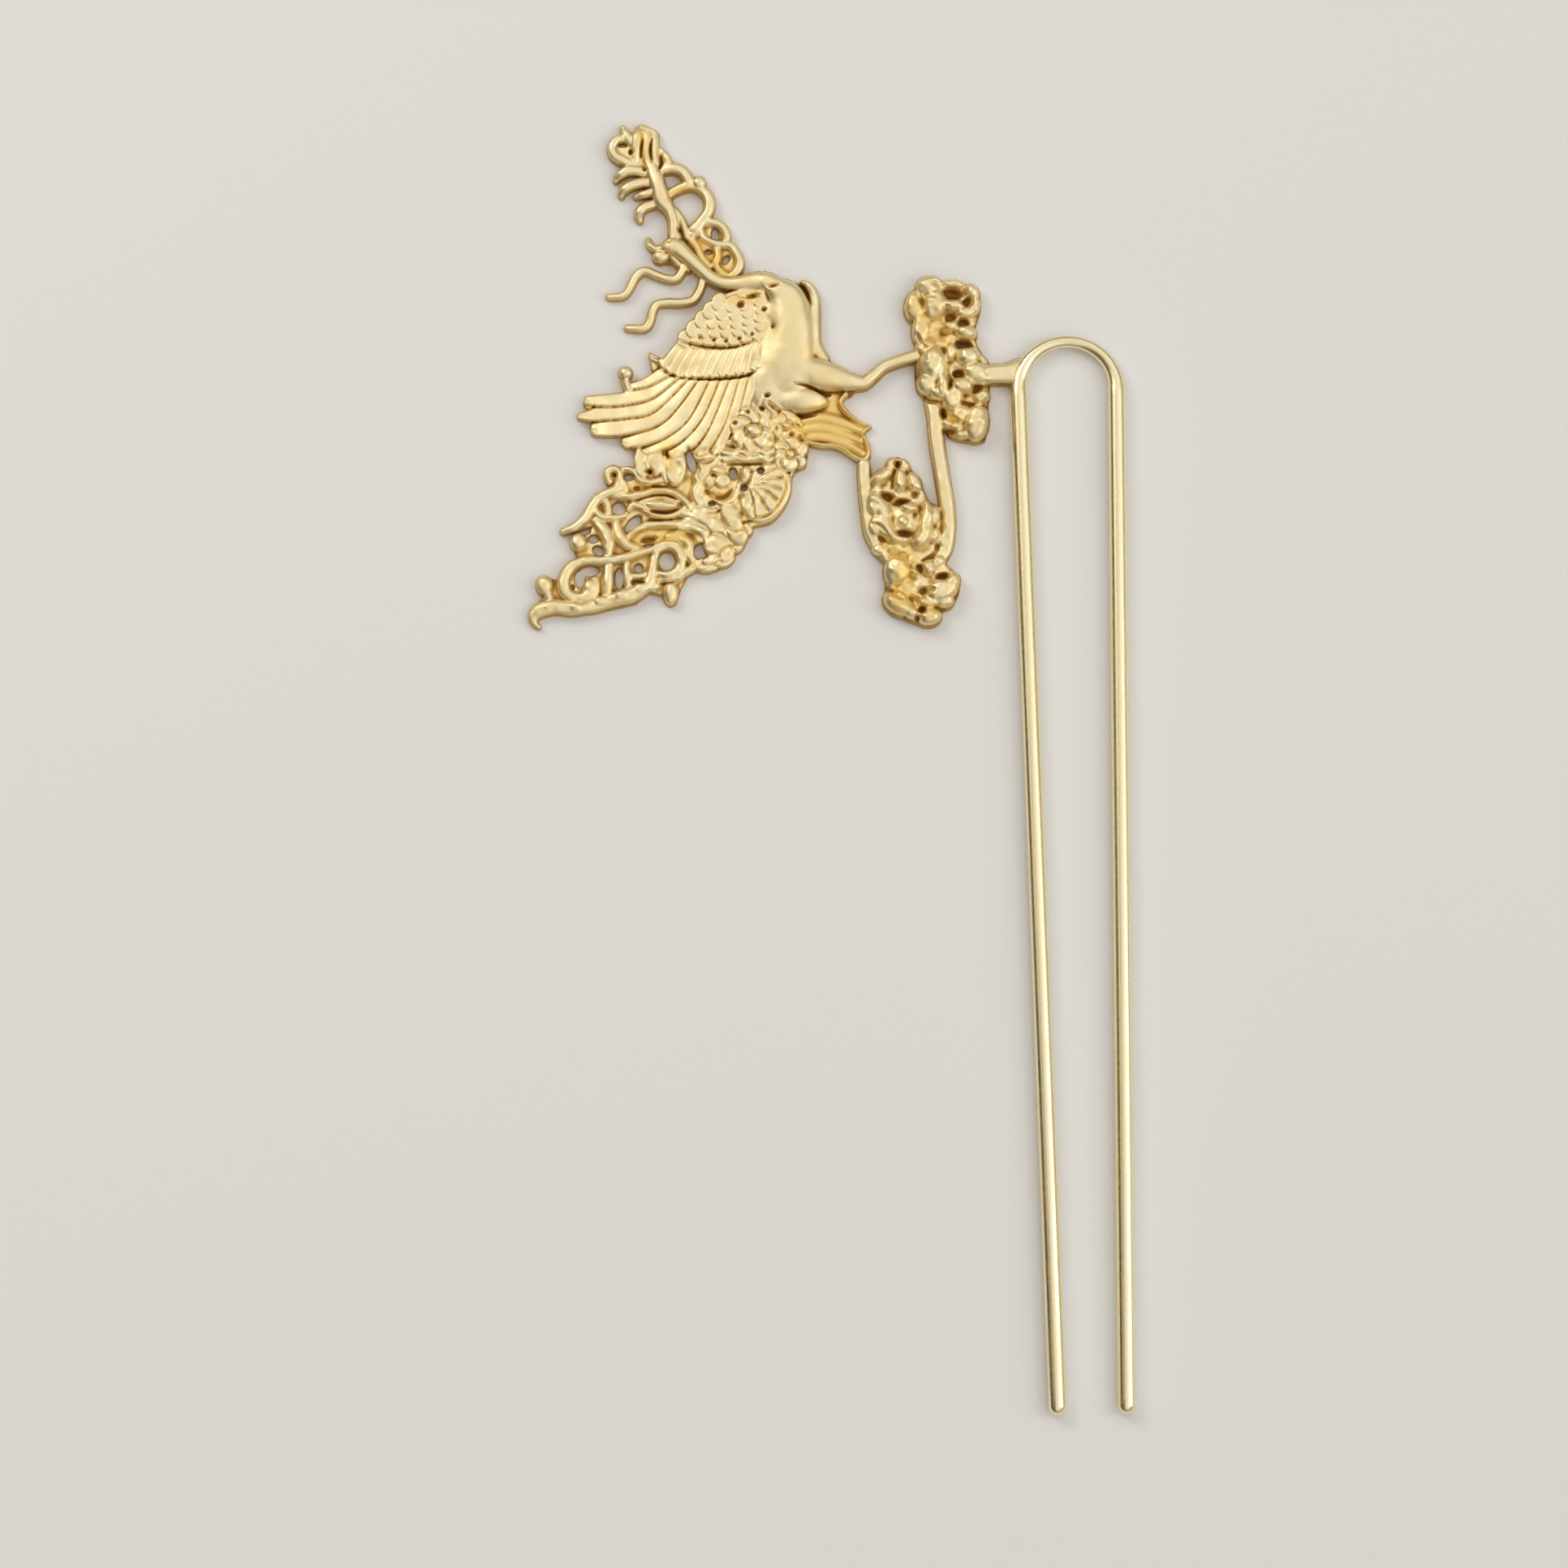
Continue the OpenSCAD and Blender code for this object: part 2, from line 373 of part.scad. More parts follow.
module tail() {
    outline = [[-24.2, 40], [-24.2, 37], [-26.3, 37.1], [-27.4, 36.5], [-27, 34.4], [-28.4, 34], [-29.6, 32.8],
        [-30.6, 30.8], [-31.8, 29.4], [-33.3, 29], [-33.1, 28.5], [-31.2, 28.6], [-29.4, 29.4], [-29.6, 28.7],
        [-31.9, 28], [-31.8, 27], [-31.2, 25.6], [-32.6, 24.4], [-33.3, 22.8], [-34.2, 23], [-35.6, 22.6],
        [-35.2, 20.8], [-36.4, 19.8], [-37.2, 18.4], [-36.9, 17.6], [-35.8, 18.6], [-33.8, 18.8], [-32.4, 18.3],
        [-29.2, 18.4], [-27.2, 19], [-23.8, 19.8], [-22.3, 21.1], [-20.7, 20.9], [-20.2, 19.8], [-19.5, 19.1],
        [-18.8, 19.8], [-18.2, 21.8], [-17.4, 23.2], [-16.2, 23.9], [-13.8, 23.9], [-12.3, 25.1], [-11, 26.8],
        [-9.8, 28.6], [-9.6, 29.5], [-7.4, 29.8], [-5.9, 31.2], [-4.9, 33.4], [-4.5, 36.2], [-3.2, 36.9],
        [-2.5, 38.4], [-3, 39.8], [-4, 41.4], [-4.4, 43.4], [-7, 45], [-12, 45], [-16, 41]];
    holes = [[-20, 25.2, 1.7, 2, 0], [-15.8, 26.4, 1.5, 1.8, -10], [-26, 31.9, 1.4, 1.6, 0],
        [-24.1, 29.9, 2.2, 1.1, 45], [-29.1, 28.2, 1, 0.9, 0], [-28.4, 26.5, 1.1, 1, 0], [-25.9, 23, 0.9, 2.5, 0],
        [-17.1, 37.9, 0.9, 3.2, 14], [-24.7, 35.8, 1.1, 0.6, 0], [-14.4, 32.4, 0.8, 0.5, 0],
        [-11.8, 36.2, 0.9, 1.4, 15], [-8.4, 36.5, 0.7, 0.8, 0], [-10.4, 34.3, 0.6, 0.8, 0],
        [-30.9, 22.9, 1.1, 2, 0], [-29.5, 23.9, 2.2, 1.1, 5], [-23.5, 24.3, 0.9, 1, 0], [-22.2, 27.2, 1.1, 0.5, 10]];
    pierced(outline, holes);
    strokes = [
        [[-26.6, 36.8, 0.9, 1.2], [-26.6, 35.4, 1.4, 1.7], [-27, 34, 1, 1.6], [-28.2, 33.5, 1.1, 1.6],
            [-29.3, 32.4, 1.1, 1.7], [-30, 31, 1.1, 1.7], [-31, 29.7, 1, 1.6], [-33.2, 28.9, 0.5, 1.2]],
        [[-18, 26.4, 1, 1.5], [-19.3, 27.3, 0.9, 1.6], [-21.2, 27.1, 0.9, 1.6], [-23, 26.4, 1, 1.6],
            [-25, 25.6, 1, 1.7], [-27.6, 25.2, 1, 1.7], [-30, 25.2, 1, 1.7], [-31.8, 24.4, 1.2, 1.7],
            [-32.8, 23.1, 1.3, 1.7], [-32.9, 21.8, 1.2, 1.7], [-32, 20.7, 1.1, 1.6], [-30.4, 20.6, 1.1, 1.6],
            [-29.1, 21.4, 1.3, 1.6], [-28.9, 22.8, 0.9, 1.3]],
        [[-36.4, 17.6, 0.6, 1.1], [-36.5, 18.6, 1.2, 1.5], [-35.2, 19.4, 1.3, 1.6], [-33.6, 19.4, 1.4, 1.7],
            [-31.8, 19.1, 1.4, 1.7], [-30, 19.2, 1.2, 1.6], [-28.2, 19.7, 1.3, 1.6], [-26.2, 20.3, 1.4, 1.7],
            [-24.4, 20.7, 1.5, 1.7], [-23, 21.3, 1.4, 1.7], [-22, 22.5, 1.2, 1.7], [-21.7, 24, 1.1, 1.7],
            [-21.4, 25.4, 1, 1.5]],
        [[-21.5, 25, 0.9, 1.4], [-21.1, 26.4, 0.9, 1.5], [-19.8, 27, 0.9, 1.5], [-18.4, 26.4, 1.1, 1.6],
            [-18, 25, 1.1, 1.6], [-18.6, 23.7, 1.1, 1.6], [-20, 23.2, 0.9, 1.5], [-21.4, 23, 0.7, 1.3]],
        [[-27.2, 25, 0.9, 1.4], [-27.5, 22.6, 1.2, 1.7], [-27.4, 20, 1, 1.4]],
        [[-25, 25, 0.7, 1.3], [-24.9, 23, 1, 1.6], [-24.6, 20.8, 0.9, 1.4]],
        [[-25, 23.2, 0.6, 1.3], [-23.6, 23.1, 0.7, 1.5], [-22.2, 23.4, 0.6, 1.3]],
        [[-24.8, 28.2, 0.6, 1.3], [-23.5, 29.2, 0.9, 1.6], [-21.6, 29.8, 0.9, 1.6], [-19.6, 29.8, 0.9, 1.6],
            [-17.6, 30.8, 0.8, 1.4]],
        [[-25.4, 34, 0.8, 1.4], [-23.6, 33.4, 0.9, 1.6], [-21.4, 33.7, 0.8, 1.6], [-19.2, 33.5, 0.8, 1.6],
            [-17.8, 32.4, 0.8, 1.5], [-18, 31.1, 0.7, 1.4], [-19.8, 30.8, 0.6, 1.5], [-22, 31.1, 0.7, 1.5],
            [-23.6, 32, 1, 1.6], [-25, 32.2, 0.8, 1.4]],
        [[-29, 31.6, 0.8, 1.3], [-28, 30.7, 0.9, 1.5], [-26.6, 30.5, 0.9, 1.6], [-25.2, 31, 0.8, 1.4]],
        [[-28.6, 30, 0.9, 1.4], [-27.7, 28.6, 1.1, 1.6], [-27.2, 27, 1.1, 1.6], [-27.6, 25.2, 0.9, 1.4]],
        [[-26.2, 29.8, 0.8, 1.3], [-25.9, 28.2, 1.1, 1.6], [-24.9, 27.2, 1, 1.5], [-23.4, 26.6, 0.8, 1.4]],
        [[-28, 33.2, 0.7, 1.3], [-27.2, 32, 0.9, 1.5], [-27.2, 30.8, 0.8, 1.4]],
        [[-20, 28.6, 0.8, 1.3], [-18.6, 28.4, 0.9, 1.5], [-17.3, 27.3, 1, 1.6], [-17.2, 25.8, 1, 1.6],
            [-16.6, 24.6, 1, 1.5], [-14.6, 24.6, 0.9, 1.4]]
    ];
    for (s = strokes) scroll(s);
    ribs = [[-23.3, 36.2, 39.4, 1.3], [-21.7, 35.4, 39.2, 1.1], [-20.2, 35.2, 39.2, 1.3], [-18.5, 35, 39.2, 1.3]];
    for (r = ribs)
        sweep([[r[0], r[2], r[3], 1.4], [r[0], (r[1] + r[2]) / 2, r[3], 1.7], [r[0] + 0.2, r[1], 0.7, 1.3]]);
    domes = [[-35.2, 22.1, 2.1, 2.4, 0, 1.9], [-31, 27.4, 2, 2.2, 0, 1.8], [-20.8, 32.2, 4.2, 1.5, 0, 1.9],
        [-19.5, 21.2, 1.8, 3.2, 0, 1.8]];
    for (d = domes) dome(d[0], d[1], d[2], d[3], d[4], d[5]);
}

// Fan of broad petals at the root of the tail, with small blossoms beside it
module tail_peonies() {
    heart = [-10.6, 34];
    fan_tips = [[-7, 37.6], [-5.4, 36.2], [-5.2, 34], [-5.9, 31.9], [-7.6, 30.4], [-9.8, 29.9]];
    for (tip = fan_tips) {
        run = tip - heart;
        petal(heart[0], heart[1], atan2(run[1], run[0]), norm(run), 2.4, 2);
    }
    lower_petals = [[-11.6, 31.6, -62, 3.6, 2.6], [-12.8, 30.4, -74, 4.2, 2.6], [-14.6, 28.6, -80, 3, 2],
        [-14, 27.6, -72, 3.6, 2], [-16.6, 29.8, -110, 2.6, 2]];
    for (p = lower_petals) petal(p[0], p[1], p[2], p[3], p[4], 1.8);

    // Blossoms: x, y, radius, number of petals, turn, height
    blossoms = [[-9.2, 41.6, 2.7, 7, 10, 2], [-4.4, 38.7, 1.9, 6, 0, 2], [-13.9, 35.2, 1.9, 6, 20, 1.9],
        [-14.8, 38.4, 1.8, 5, 40, 1.7], [-5.2, 42.2, 1.6, 5, 15, 1.8], [-9.6, 38.4, 1.9, 5, 60, 1.7],
        [-16.4, 33.2, 1.5, 5, 0, 1.7]];
    for (b = blossoms) {
        for (k = [0 : b[3] - 1])
            let (a = b[4] + 360 * k / b[3], reach = b[2] * 0.6)
            dome(b[0] + reach * cos(a), b[1] + reach * sin(a), b[2] * 0.95, 4.6 * b[2] / b[3], a, b[5] * 0.9);
        dome(b[0], b[1], b[2] * 0.75, b[2] * 0.75, b[4], b[5] + 0.2);
    }
}

// BARS, BLOSSOMS AND ARM

// Long bar bent into a hoop: down from the leaf, under the lower blossom and up to the upper one
module hoop() {
    left_bar = [[4.3, 37.3, bar_w, 1.7], [4.4, 35, bar_w, 1.8], [4.8, 31, bar_w, 1.8], [5.3, 28.2, bar_w, 1.8],
        [7, 26, bar_w, 1.6]];
    right_bar = [[12.3, 46.4, bar_w, 1.7], [13, 41, bar_w, 1.8], [13.9, 36, bar_w, 1.8], [14.5, 31, bar_w, 1.8],
        [14.4, 28, bar_w, 1.8], [13.2, 25.4, bar_w, 1.6]];
    for (b = [left_bar, right_bar]) scroll(b, crown);
}

// Rolled petals from rows of [x, y, length, width, turn, top], swollen until they press on each other
module petals(rows) {
    swell = 1.35;
    for (p = rows) dome(p[0], p[1], p[2] * swell, p[3] * swell, p[4], p[5]);
}

module upper_blossom() {
    outline = [[12.9, 61.2], [15.2, 60.5], [17.4, 59.9], [18.8, 58.4], [18.6, 55.6], [18.2, 54], [18.8, 52],
        [20, 50.6], [20.2, 46.6], [19.8, 44.4], [19.3, 40.4], [18.2, 40], [16.8, 40.8], [14.8, 41.2], [14.2, 44],
        [11.6, 46.1], [10.6, 48.8], [10.8, 53], [10.2, 55.6], [9.6, 57.6], [10.8, 59.6]];
    pierced(outline, [[15.5, 59, 1, 0.7, 0]], 1.2);
    petals([
        [12.5, 60.2, 3, 1.8, 20, 2.2], [10.9, 57.5, 2.2, 3.4, 10, 2.2], [16.3, 60, 2.8, 1.1, -14, 2.1],
        [18, 58.4, 1.3, 2.6, 0, 2.3], [13.2, 57.6, 2.6, 3.6, 10, 2.5], [15.5, 57.4, 2.4, 1.2, -4, 2.6],
        [17.3, 56.5, 2.6, 1.5, 6, 2.5], [12.1, 54.6, 2, 3.2, 4, 2.2], [15.4, 54.6, 2.4, 1.2, 30, 2.3],
        [17.2, 54, 2.6, 1.7, -12, 2.5], [12.2, 52.2, 2.4, 2, 20, 2.1], [15.4, 51.4, 1.2, 2.4, -20, 2.5],
        [17.6, 51.2, 2.6, 1.9, -8, 2.6], [13.1, 49.6, 2.8, 3, 0, 2.7], [12.4, 47.6, 2.2, 2.2, 0, 2.5],
        [14.4, 48.2, 1.3, 3, 0, blossom_top], [17.9, 49, 1.8, 2, 0, 2.7], [16.7, 47.1, 2.4, 1.6, 0, blossom_top],
        [15.4, 46, 1.5, 3.4, 0, 2.6], [19, 46.2, 1.9, 1.9, 0, 2.4], [16.8, 43.4, 2.4, 2.8, 0, 2.3],
        [18.6, 42.9, 1.7, 4.6, 0, 2.5], [14.7, 42.8, 1.1, 1.7, 0, 2], [16.9, 41.2, 1.8, 1.1, -10, 1.9]
    ]);
}

module lower_blossom() {
    outline = [[8.7, 38.5], [9.9, 37.2], [11.1, 35.8], [12.2, 33.4], [13.4, 32.4], [14.6, 30], [15, 26.6],
        [14.8, 24.4], [16, 23.4], [16.3, 21.8], [15.3, 19.4], [13.9, 18.5], [13.5, 17.2], [12, 16.7],
        [10.3, 17.1], [8.2, 18.2], [7, 20], [6.7, 22.4], [7, 24.6], [5.8, 25.4], [5.5, 27], [6.2, 28.6],
        [4.8, 31], [5, 35.4], [7.2, 36.8]];
    linear_extrude(1.2) polygon(outline);
    petals([
        [7.7, 37.1, 1.2, 2, -14, 2.1], [9.3, 37.1, 1.2, 1.8, 20, 2.1], [6.8, 35.6, 3, 1.5, 42, 2.3],
        [8.8, 35.2, 1.5, 2.8, 0, 2.5], [10.6, 35, 1.3, 2.4, 32, 2.2], [7.4, 34.2, 2, 0.9, 6, 2.3],
        [5.9, 31.8, 1.9, 4.6, -4, 2.3], [7.4, 30, 1.5, 3.8, 0, 2.6], [9.7, 31.4, 3.2, 1.2, 0, 2.7],
        [10, 30.1, 1.2, 1.3, 0, blossom_top], [11.5, 29, 1.8, 5.2, 0, 2.6], [13.1, 30.4, 1.4, 2.8, 0, 2.1],
        [9.6, 27.2, 3.2, 1.4, 0, 2.7], [5.8, 28.8, 1.5, 1.9, 10, 2], [6.3, 26.4, 1.3, 1, 0, 1.8],
        [8, 26.2, 2.2, 2, -20, 2.1], [8.2, 23.7, 2.2, 3.2, 8, 2.3], [9.9, 24.3, 1, 2.4, -8, 2.3],
        [12.3, 24.1, 1.3, 2.2, 0, 2.5], [9, 21.9, 2.6, 1.8, -30, 2.2], [14.2, 21.3, 3.6, 2.6, 20, 2.6],
        [15.4, 23, 1.5, 1.5, 0, 2.3], [8.2, 20, 3.6, 2, -45, 2.4], [11.8, 20, 2.8, 1.4, 0, 2.3],
        [12.5, 18.2, 2.4, 1.8, 0, 2.2], [10.3, 18.3, 1.4, 1.6, 0, 2]
    ]);
}

// Short arm from the upper blossom to the fork's left shoulder, with a hollow that grips the wire
module arm() {
    rows = [[17.6, 48, 1.4, 2.2], [19.4, 48.6, 2, 2.2], [21, 48.7, 2.5, 2.1], [22.4, 48.7, 3.2, 2],
        [23.3, 48.6, 3.8, 2]];
    difference() {
        scroll(rows, crown);
        wire(wire_r + seat_gap, 20);
    }
}

module phoenix() {
    color(gold)
        union() {
            crest();
            head();
            ribbons();
            torso();
            leaf();
            wing();
            tail();
            tail_peonies();
        }
}

module peony_branch() {
    color(gold)
        difference() {
            union() {
                hoop();
                upper_blossom();
                lower_blossom();
                arm();
            }
            leg(seat_gap);
        }
}

fork();
phoenix();
peony_branch();
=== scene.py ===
import math

import bmesh
import bpy
import numpy as np
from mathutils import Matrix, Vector


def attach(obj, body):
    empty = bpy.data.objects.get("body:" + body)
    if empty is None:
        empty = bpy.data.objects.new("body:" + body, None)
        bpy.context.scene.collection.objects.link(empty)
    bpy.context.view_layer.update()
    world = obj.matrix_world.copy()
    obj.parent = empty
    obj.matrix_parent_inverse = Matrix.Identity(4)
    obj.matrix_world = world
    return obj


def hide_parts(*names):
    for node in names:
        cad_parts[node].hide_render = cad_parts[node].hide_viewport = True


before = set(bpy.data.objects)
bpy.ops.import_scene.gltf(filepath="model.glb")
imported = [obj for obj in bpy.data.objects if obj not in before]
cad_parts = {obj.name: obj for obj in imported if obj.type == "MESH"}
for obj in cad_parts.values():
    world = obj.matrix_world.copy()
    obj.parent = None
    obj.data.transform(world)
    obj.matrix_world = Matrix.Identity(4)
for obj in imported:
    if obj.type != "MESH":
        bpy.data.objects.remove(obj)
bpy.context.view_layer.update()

mm = 0.001
tiny = 1e-6

castingLook = {
    "pitch": 0.09,  # mm between the points of the relief
    "thinnest": 0.3,  # least height left in a pit or at the rim
    "melt": 0.8,  # points of the relief that corners melt over
    "petalMelt": (2.2, 0.3),  # the same on the blossoms, and its share
    "uneven": (0.7, 0.035),  # spread of the unevenness and its height, mm
    "petalUneven": (0.32, 0.06),
    "petalWarmth": 0.12,
    "recesses": ((0.2, 0.5, 0.16), (0.6, 0.8, 0.6)),  # painted shade in recesses: spread, share and full depth
    "ridgeRecess": -0.4,  # ridges are this much lighter at most, in the painted shade
    "sideRecess": 0.6,  # painted shade on the upright sides
    "sideWidth": 1.3,  # width of the painted side shade, in points of the relief
    "wear": 0.5,  # mm that worn places are evened over
    "outlineRounds": 4,  # times that the cut outline is smoothed
    "sharpAngle": 50,
}


# Smooth curve through rows of numbers, with about one point for each step of its length
def smoothRows(rows, step=0.22, closed=False):
    rows = np.array(rows, float)
    count = len(rows)
    out = []
    for i in range(count if closed else count - 1):
        near = [(i + k) % count if closed else min(max(i + k, 0), count - 1) for k in (-1, 0, 1, 2)]
        a, b, c, d = rows[near]
        pieces = max(1, int(np.hypot(*(c - b)[:2]) / step))
        for t in np.arange(pieces)[:, None] / pieces:
            out.append(0.5 * (2 * b + (c - a) * t + (2 * a - 5 * b + 4 * c - d) * t * t
                              + (3 * b - a - 3 * c + d) * t ** 3))
    if not closed:
        out.append(rows[-1])
    return np.array(out)


def softMax(a, b, width):
    if width <= 0:
        return np.maximum(a, b)
    close = np.clip(1 - np.abs(a - b) / width, 0, 1)
    return np.maximum(a, b) + close * close * width / 4


def blurred(field, sigma):
    size = [n + int(6 * sigma) + 1 for n in field.shape]
    down = np.fft.fftfreq(size[0])[:, None]
    along = np.fft.rfftfreq(size[1])[None]
    gauss = np.exp(-2 * (math.pi * sigma) ** 2 * (down ** 2 + along ** 2))
    out = np.fft.irfft2(np.fft.rfft2(field, size) * gauss, size)
    return out[:field.shape[0], :field.shape[1]]


# Share of the way from a to b that is nearest to each point, and how far off it is in x and y
def offLine(x, y, a, b):
    runX, runY = b[0] - a[0], b[1] - a[1]
    t = ((x - a[0]) * runX + (y - a[1]) * runY) / max(runX ** 2 + runY ** 2, 1e-9)
    t = np.clip(t, 0, 1)
    return t, x - a[0] - runX * t, y - a[1] - runY * t


# Upright to its shoulder, then domed. near is 0 in the middle and 1 at the edge
def domed(near, top, fullness, shoulder):
    dome = np.sqrt(1 - np.clip(near, 0, 1) ** fullness)
    return top * (shoulder + (1 - shoulder) * dome)


# Closed piece from points in millimetres. backEdges are the loops round its flat back
def newPiece(name, points, faces, backEdges=()):
    mesh = bpy.data.meshes.new(name)
    mesh.from_pydata((np.array(points) * mm).tolist(), [], faces)
    shape = bmesh.new()
    shape.from_mesh(mesh)
    if backEdges:
        shape.verts.ensure_lookup_table()
        under = [shape.edges.get((shape.verts[a], shape.verts[b])) for a, b in backEdges]
        bmesh.ops.triangle_fill(shape, use_beauty=False, use_dissolve=False, edges=under,
                                normal=(0, 0, -1))
        bmesh.ops.triangulate(shape, faces=[f for f in shape.faces if len(f.verts) > 3])
    bmesh.ops.recalc_face_normals(shape, faces=shape.faces)
    shape.to_mesh(mesh)
    shape.free()
    piece = bpy.data.objects.new(name, mesh)
    bpy.context.collection.objects.link(piece)
    return piece


def shadeSmooth(mesh):
    mesh.polygons.foreach_set("use_smooth", np.ones(len(mesh.polygons), bool))


def thinOut(piece, mostTriangles):
    count = len(piece.data.polygons)
    if count <= mostTriangles:
        return
    piece.modifiers.new("thin", "DECIMATE").ratio = mostTriangles / count
    seen = piece.evaluated_get(bpy.context.evaluated_depsgraph_get())
    full, piece.data = piece.data, bpy.data.meshes.new_from_object(seen)
    piece.modifiers.clear()
    bpy.data.meshes.remove(full)
    piece.data.name = piece.name


# Sheet of heights over the XY plane, worked in millimetres and cut out along the line where
# reach is zero. The tables hold rows of x, y, width, top for strokes, of x, y, width, depth for
# creases, and of x, y, length, width, turn for ovals, with the top or the depth last
class Relief:
    def __init__(self, box):
        self.pitch = castingLook["pitch"]
        self.x = np.arange(box[0], box[2] + self.pitch, self.pitch)
        self.y = np.arange(box[1], box[3] + self.pitch, self.pitch)
        shape = (len(self.y), len(self.x))
        self.height = np.zeros(shape)
        self.reach = np.full(shape, -9.0)
        self.shadeAndWarmth = np.zeros(shape)
        self.knobs = np.zeros(shape)

    # Rows and columns of points that cover a box
    def window(self, low, high):
        cut = []
        for place, a, b in ((self.y, low[1], high[1]), (self.x, low[0], high[0])):
            first = max(int((a - place[0]) / self.pitch) - 1, 0)
            last = max(int((b - place[0]) / self.pitch) + 2, first)
            cut.append(slice(first, min(last, len(place))))
        return tuple(cut)

    def points(self, cut):
        return self.x[cut[1]][None, :], self.y[cut[0]][:, None]

    # Nearness to a stroke's middle line, with the top and half width there and its side
    def along(self, rows, widen=1, margin=0):
        path = smoothRows(np.array(rows, float) * (1, 1, widen, 1))
        grow = path[:, 2].max() / 2 + margin + self.pitch
        whole = self.window(path[:, :2].min(0) - grow, path[:, :2].max(0) + grow)
        x, y = self.points(whole)
        shape = (y.shape[0], x.shape[1])
        near, top, wide, side = (np.full(shape, v) for v in (9.0, 0.0, 1.0, 0.0))
        for a, b in zip(path[:-1], path[1:]):
            grow = max(a[2], b[2]) / 2 + margin
            part = self.window(np.minimum(a, b)[:2] - grow, np.maximum(a, b)[:2] + grow)
            x, y = self.points(part)
            sub = tuple(slice(p.start - w.start, p.stop - w.start) for p, w in zip(part, whole))
            t, offX, offY = offLine(x, y, a, b)
            half = (a[2] + (b[2] - a[2]) * t) / 2
            u = np.hypot(offX, offY) / half
            left = np.sign((b[0] - a[0]) * (y - a[1]) - (b[1] - a[1]) * (x - a[0]))
            closer = u < near[sub]
            for field, value in ((near, u), (top, a[3] + (b[3] - a[3]) * t), (wide, half),
                                 (side, left * u)):
                field[sub] = np.where(closer, value, field[sub])
        return whole, near, top, wide, side

    def oval(self, x, y, length, width, turn):
        reach = max(length, width) / 2
        cut = self.window((x - reach, y - reach), (x + reach, y + reach))
        px, py = self.points(cut)
        c, s = math.cos(math.radians(turn)), math.sin(math.radians(turn))
        across = ((px - x) * c + (py - y) * s) / (length / 2)
        up = ((py - y) * c - (px - x) * s) / (width / 2)
        return cut, np.hypot(across, up), across, up

    # Metal melted into what is there, or laid over it with a groove along its edge
    def add(self, cut, near, surface, half, soft, groove=0, sink=0):
        gap = (near - 1) * half
        if groove:
            self.height[cut] -= sink * np.clip(1 - np.abs(gap) / groove, 0, 1) * (gap > 0)
        else:
            surface = softMax(self.height[cut], surface, soft)
        self.height[cut] = np.where(near < 1, surface, self.height[cut])
        self.reach[cut] = np.maximum(self.reach[cut], -gap)

    # Raised strokes. lean lifts their left side
    def strokes(self, table, widen=1, fullness=2.2, shoulder=0.45, soft=0.08, lean=0, groove=0,
                sink=0.5):
        for rows in table:
            cut, near, top, wide, side = self.along(rows, widen, groove)
            surface = domed(near, top, fullness, shoulder) + lean * side
            self.add(cut, near, surface, wide, soft, groove, sink)

    # Raised ovals: cup hollows their middle, and lean raises them towards the end of their length
    def petals(self, table, longer=1, wider=1, higher=0, cup=0, lean=0, fullness=2.4,
               shoulder=0.5, soft=0.06, groove=0, sink=0.4):
        cupSpread = 0.5
        for x, y, length, width, turn, top in table:
            length, width, top = length * longer, width * wider, top + higher
            share = 1 + 2 * groove / min(length, width)
            cut, near, across, up = self.oval(x, y, length * share, width * share, turn)
            near, across = near * share, across * share
            surface = domed(near, top, fullness, shoulder)
            surface = surface - cup * np.exp(-(near / cupSpread) ** 2) + lean * across
            self.add(cut, near, surface, min(length, width) / 2, soft, groove, sink)

    # Flat sheet inside an outline, its upper edge rounded. With spread off it only thickens
    def sheet(self, outline, top, bevel=0.2, soft=0.05, smooth=True, knobs=0.0, spread=True):
        line = smoothRows(outline, 0.5, True) if smooth else np.array(outline, float)
        cut = self.window(line.min(0) - self.pitch, line.max(0) + self.pitch)
        x, y = np.broadcast_arrays(*self.points(cut))
        far = np.full(x.shape, 1e9)
        inside = np.zeros(x.shape, bool)
        for a, b in zip(line, np.roll(line, -1, 0)):
            t, offX, offY = offLine(x, y, a, b)
            far = np.minimum(far, offX ** 2 + offY ** 2)
            if a[1] != b[1]:
                crossed = x < (b[0] - a[0]) * (y - a[1]) / (b[1] - a[1]) + a[0]
                inside ^= ((a[1] > y) != (b[1] > y)) & crossed
        deep = np.where(inside, 1, -1) * np.sqrt(far)
        edge = np.clip(1 - deep / bevel, 0, 1)
        reach = np.maximum(self.reach[cut], deep) if spread else self.reach[cut].copy()
        surface = top - bevel * (1 - np.sqrt(1 - edge ** 2))
        self.add(cut, np.where(inside, 0, 2), surface, 1, soft)
        self.reach[cut] = reach
        self.knobs[cut] = np.where(inside, knobs, self.knobs[cut])

    def holes(self, table):
        margin = 1
        for x, y, length, width, turn in table:
            cut, near, across, up = self.oval(x, y, length + margin, width + margin, turn)
            near = np.hypot(across * (length + margin) / length, up * (width + margin) / width)
            self.reach[cut] = np.minimum(self.reach[cut], (near - 1) * min(length, width) / 2)

    def pits(self, table):
        for *place, depth in table:
            cut, near, across, up = self.oval(*place)
            self.height[cut] -= depth * np.clip(1 - near ** 2, 0, 1) ** 1.5

    # Worn smooth inside an oval
    def wear(self, table):
        spread = castingLook["wear"] / self.pitch
        for place in table:
            cut, near, across, up = self.oval(*place)
            old = self.height[cut]
            worn = blurred(old, spread) / (blurred(np.ones(old.shape), spread) + tiny)
            self.height[cut] += (worn - old) * np.clip(2 - 2 * near, 0, 1)

    # Sunk lines
    def creases(self, table, widen=1, deepen=1):
        for rows in table:
            cut, near, depth, wide, side = self.along([[*row[:3], row[3] * deepen] for row in rows],
                                                      widen)
            self.height[cut] -= depth * np.clip(1 - near ** 2, 0, 1)
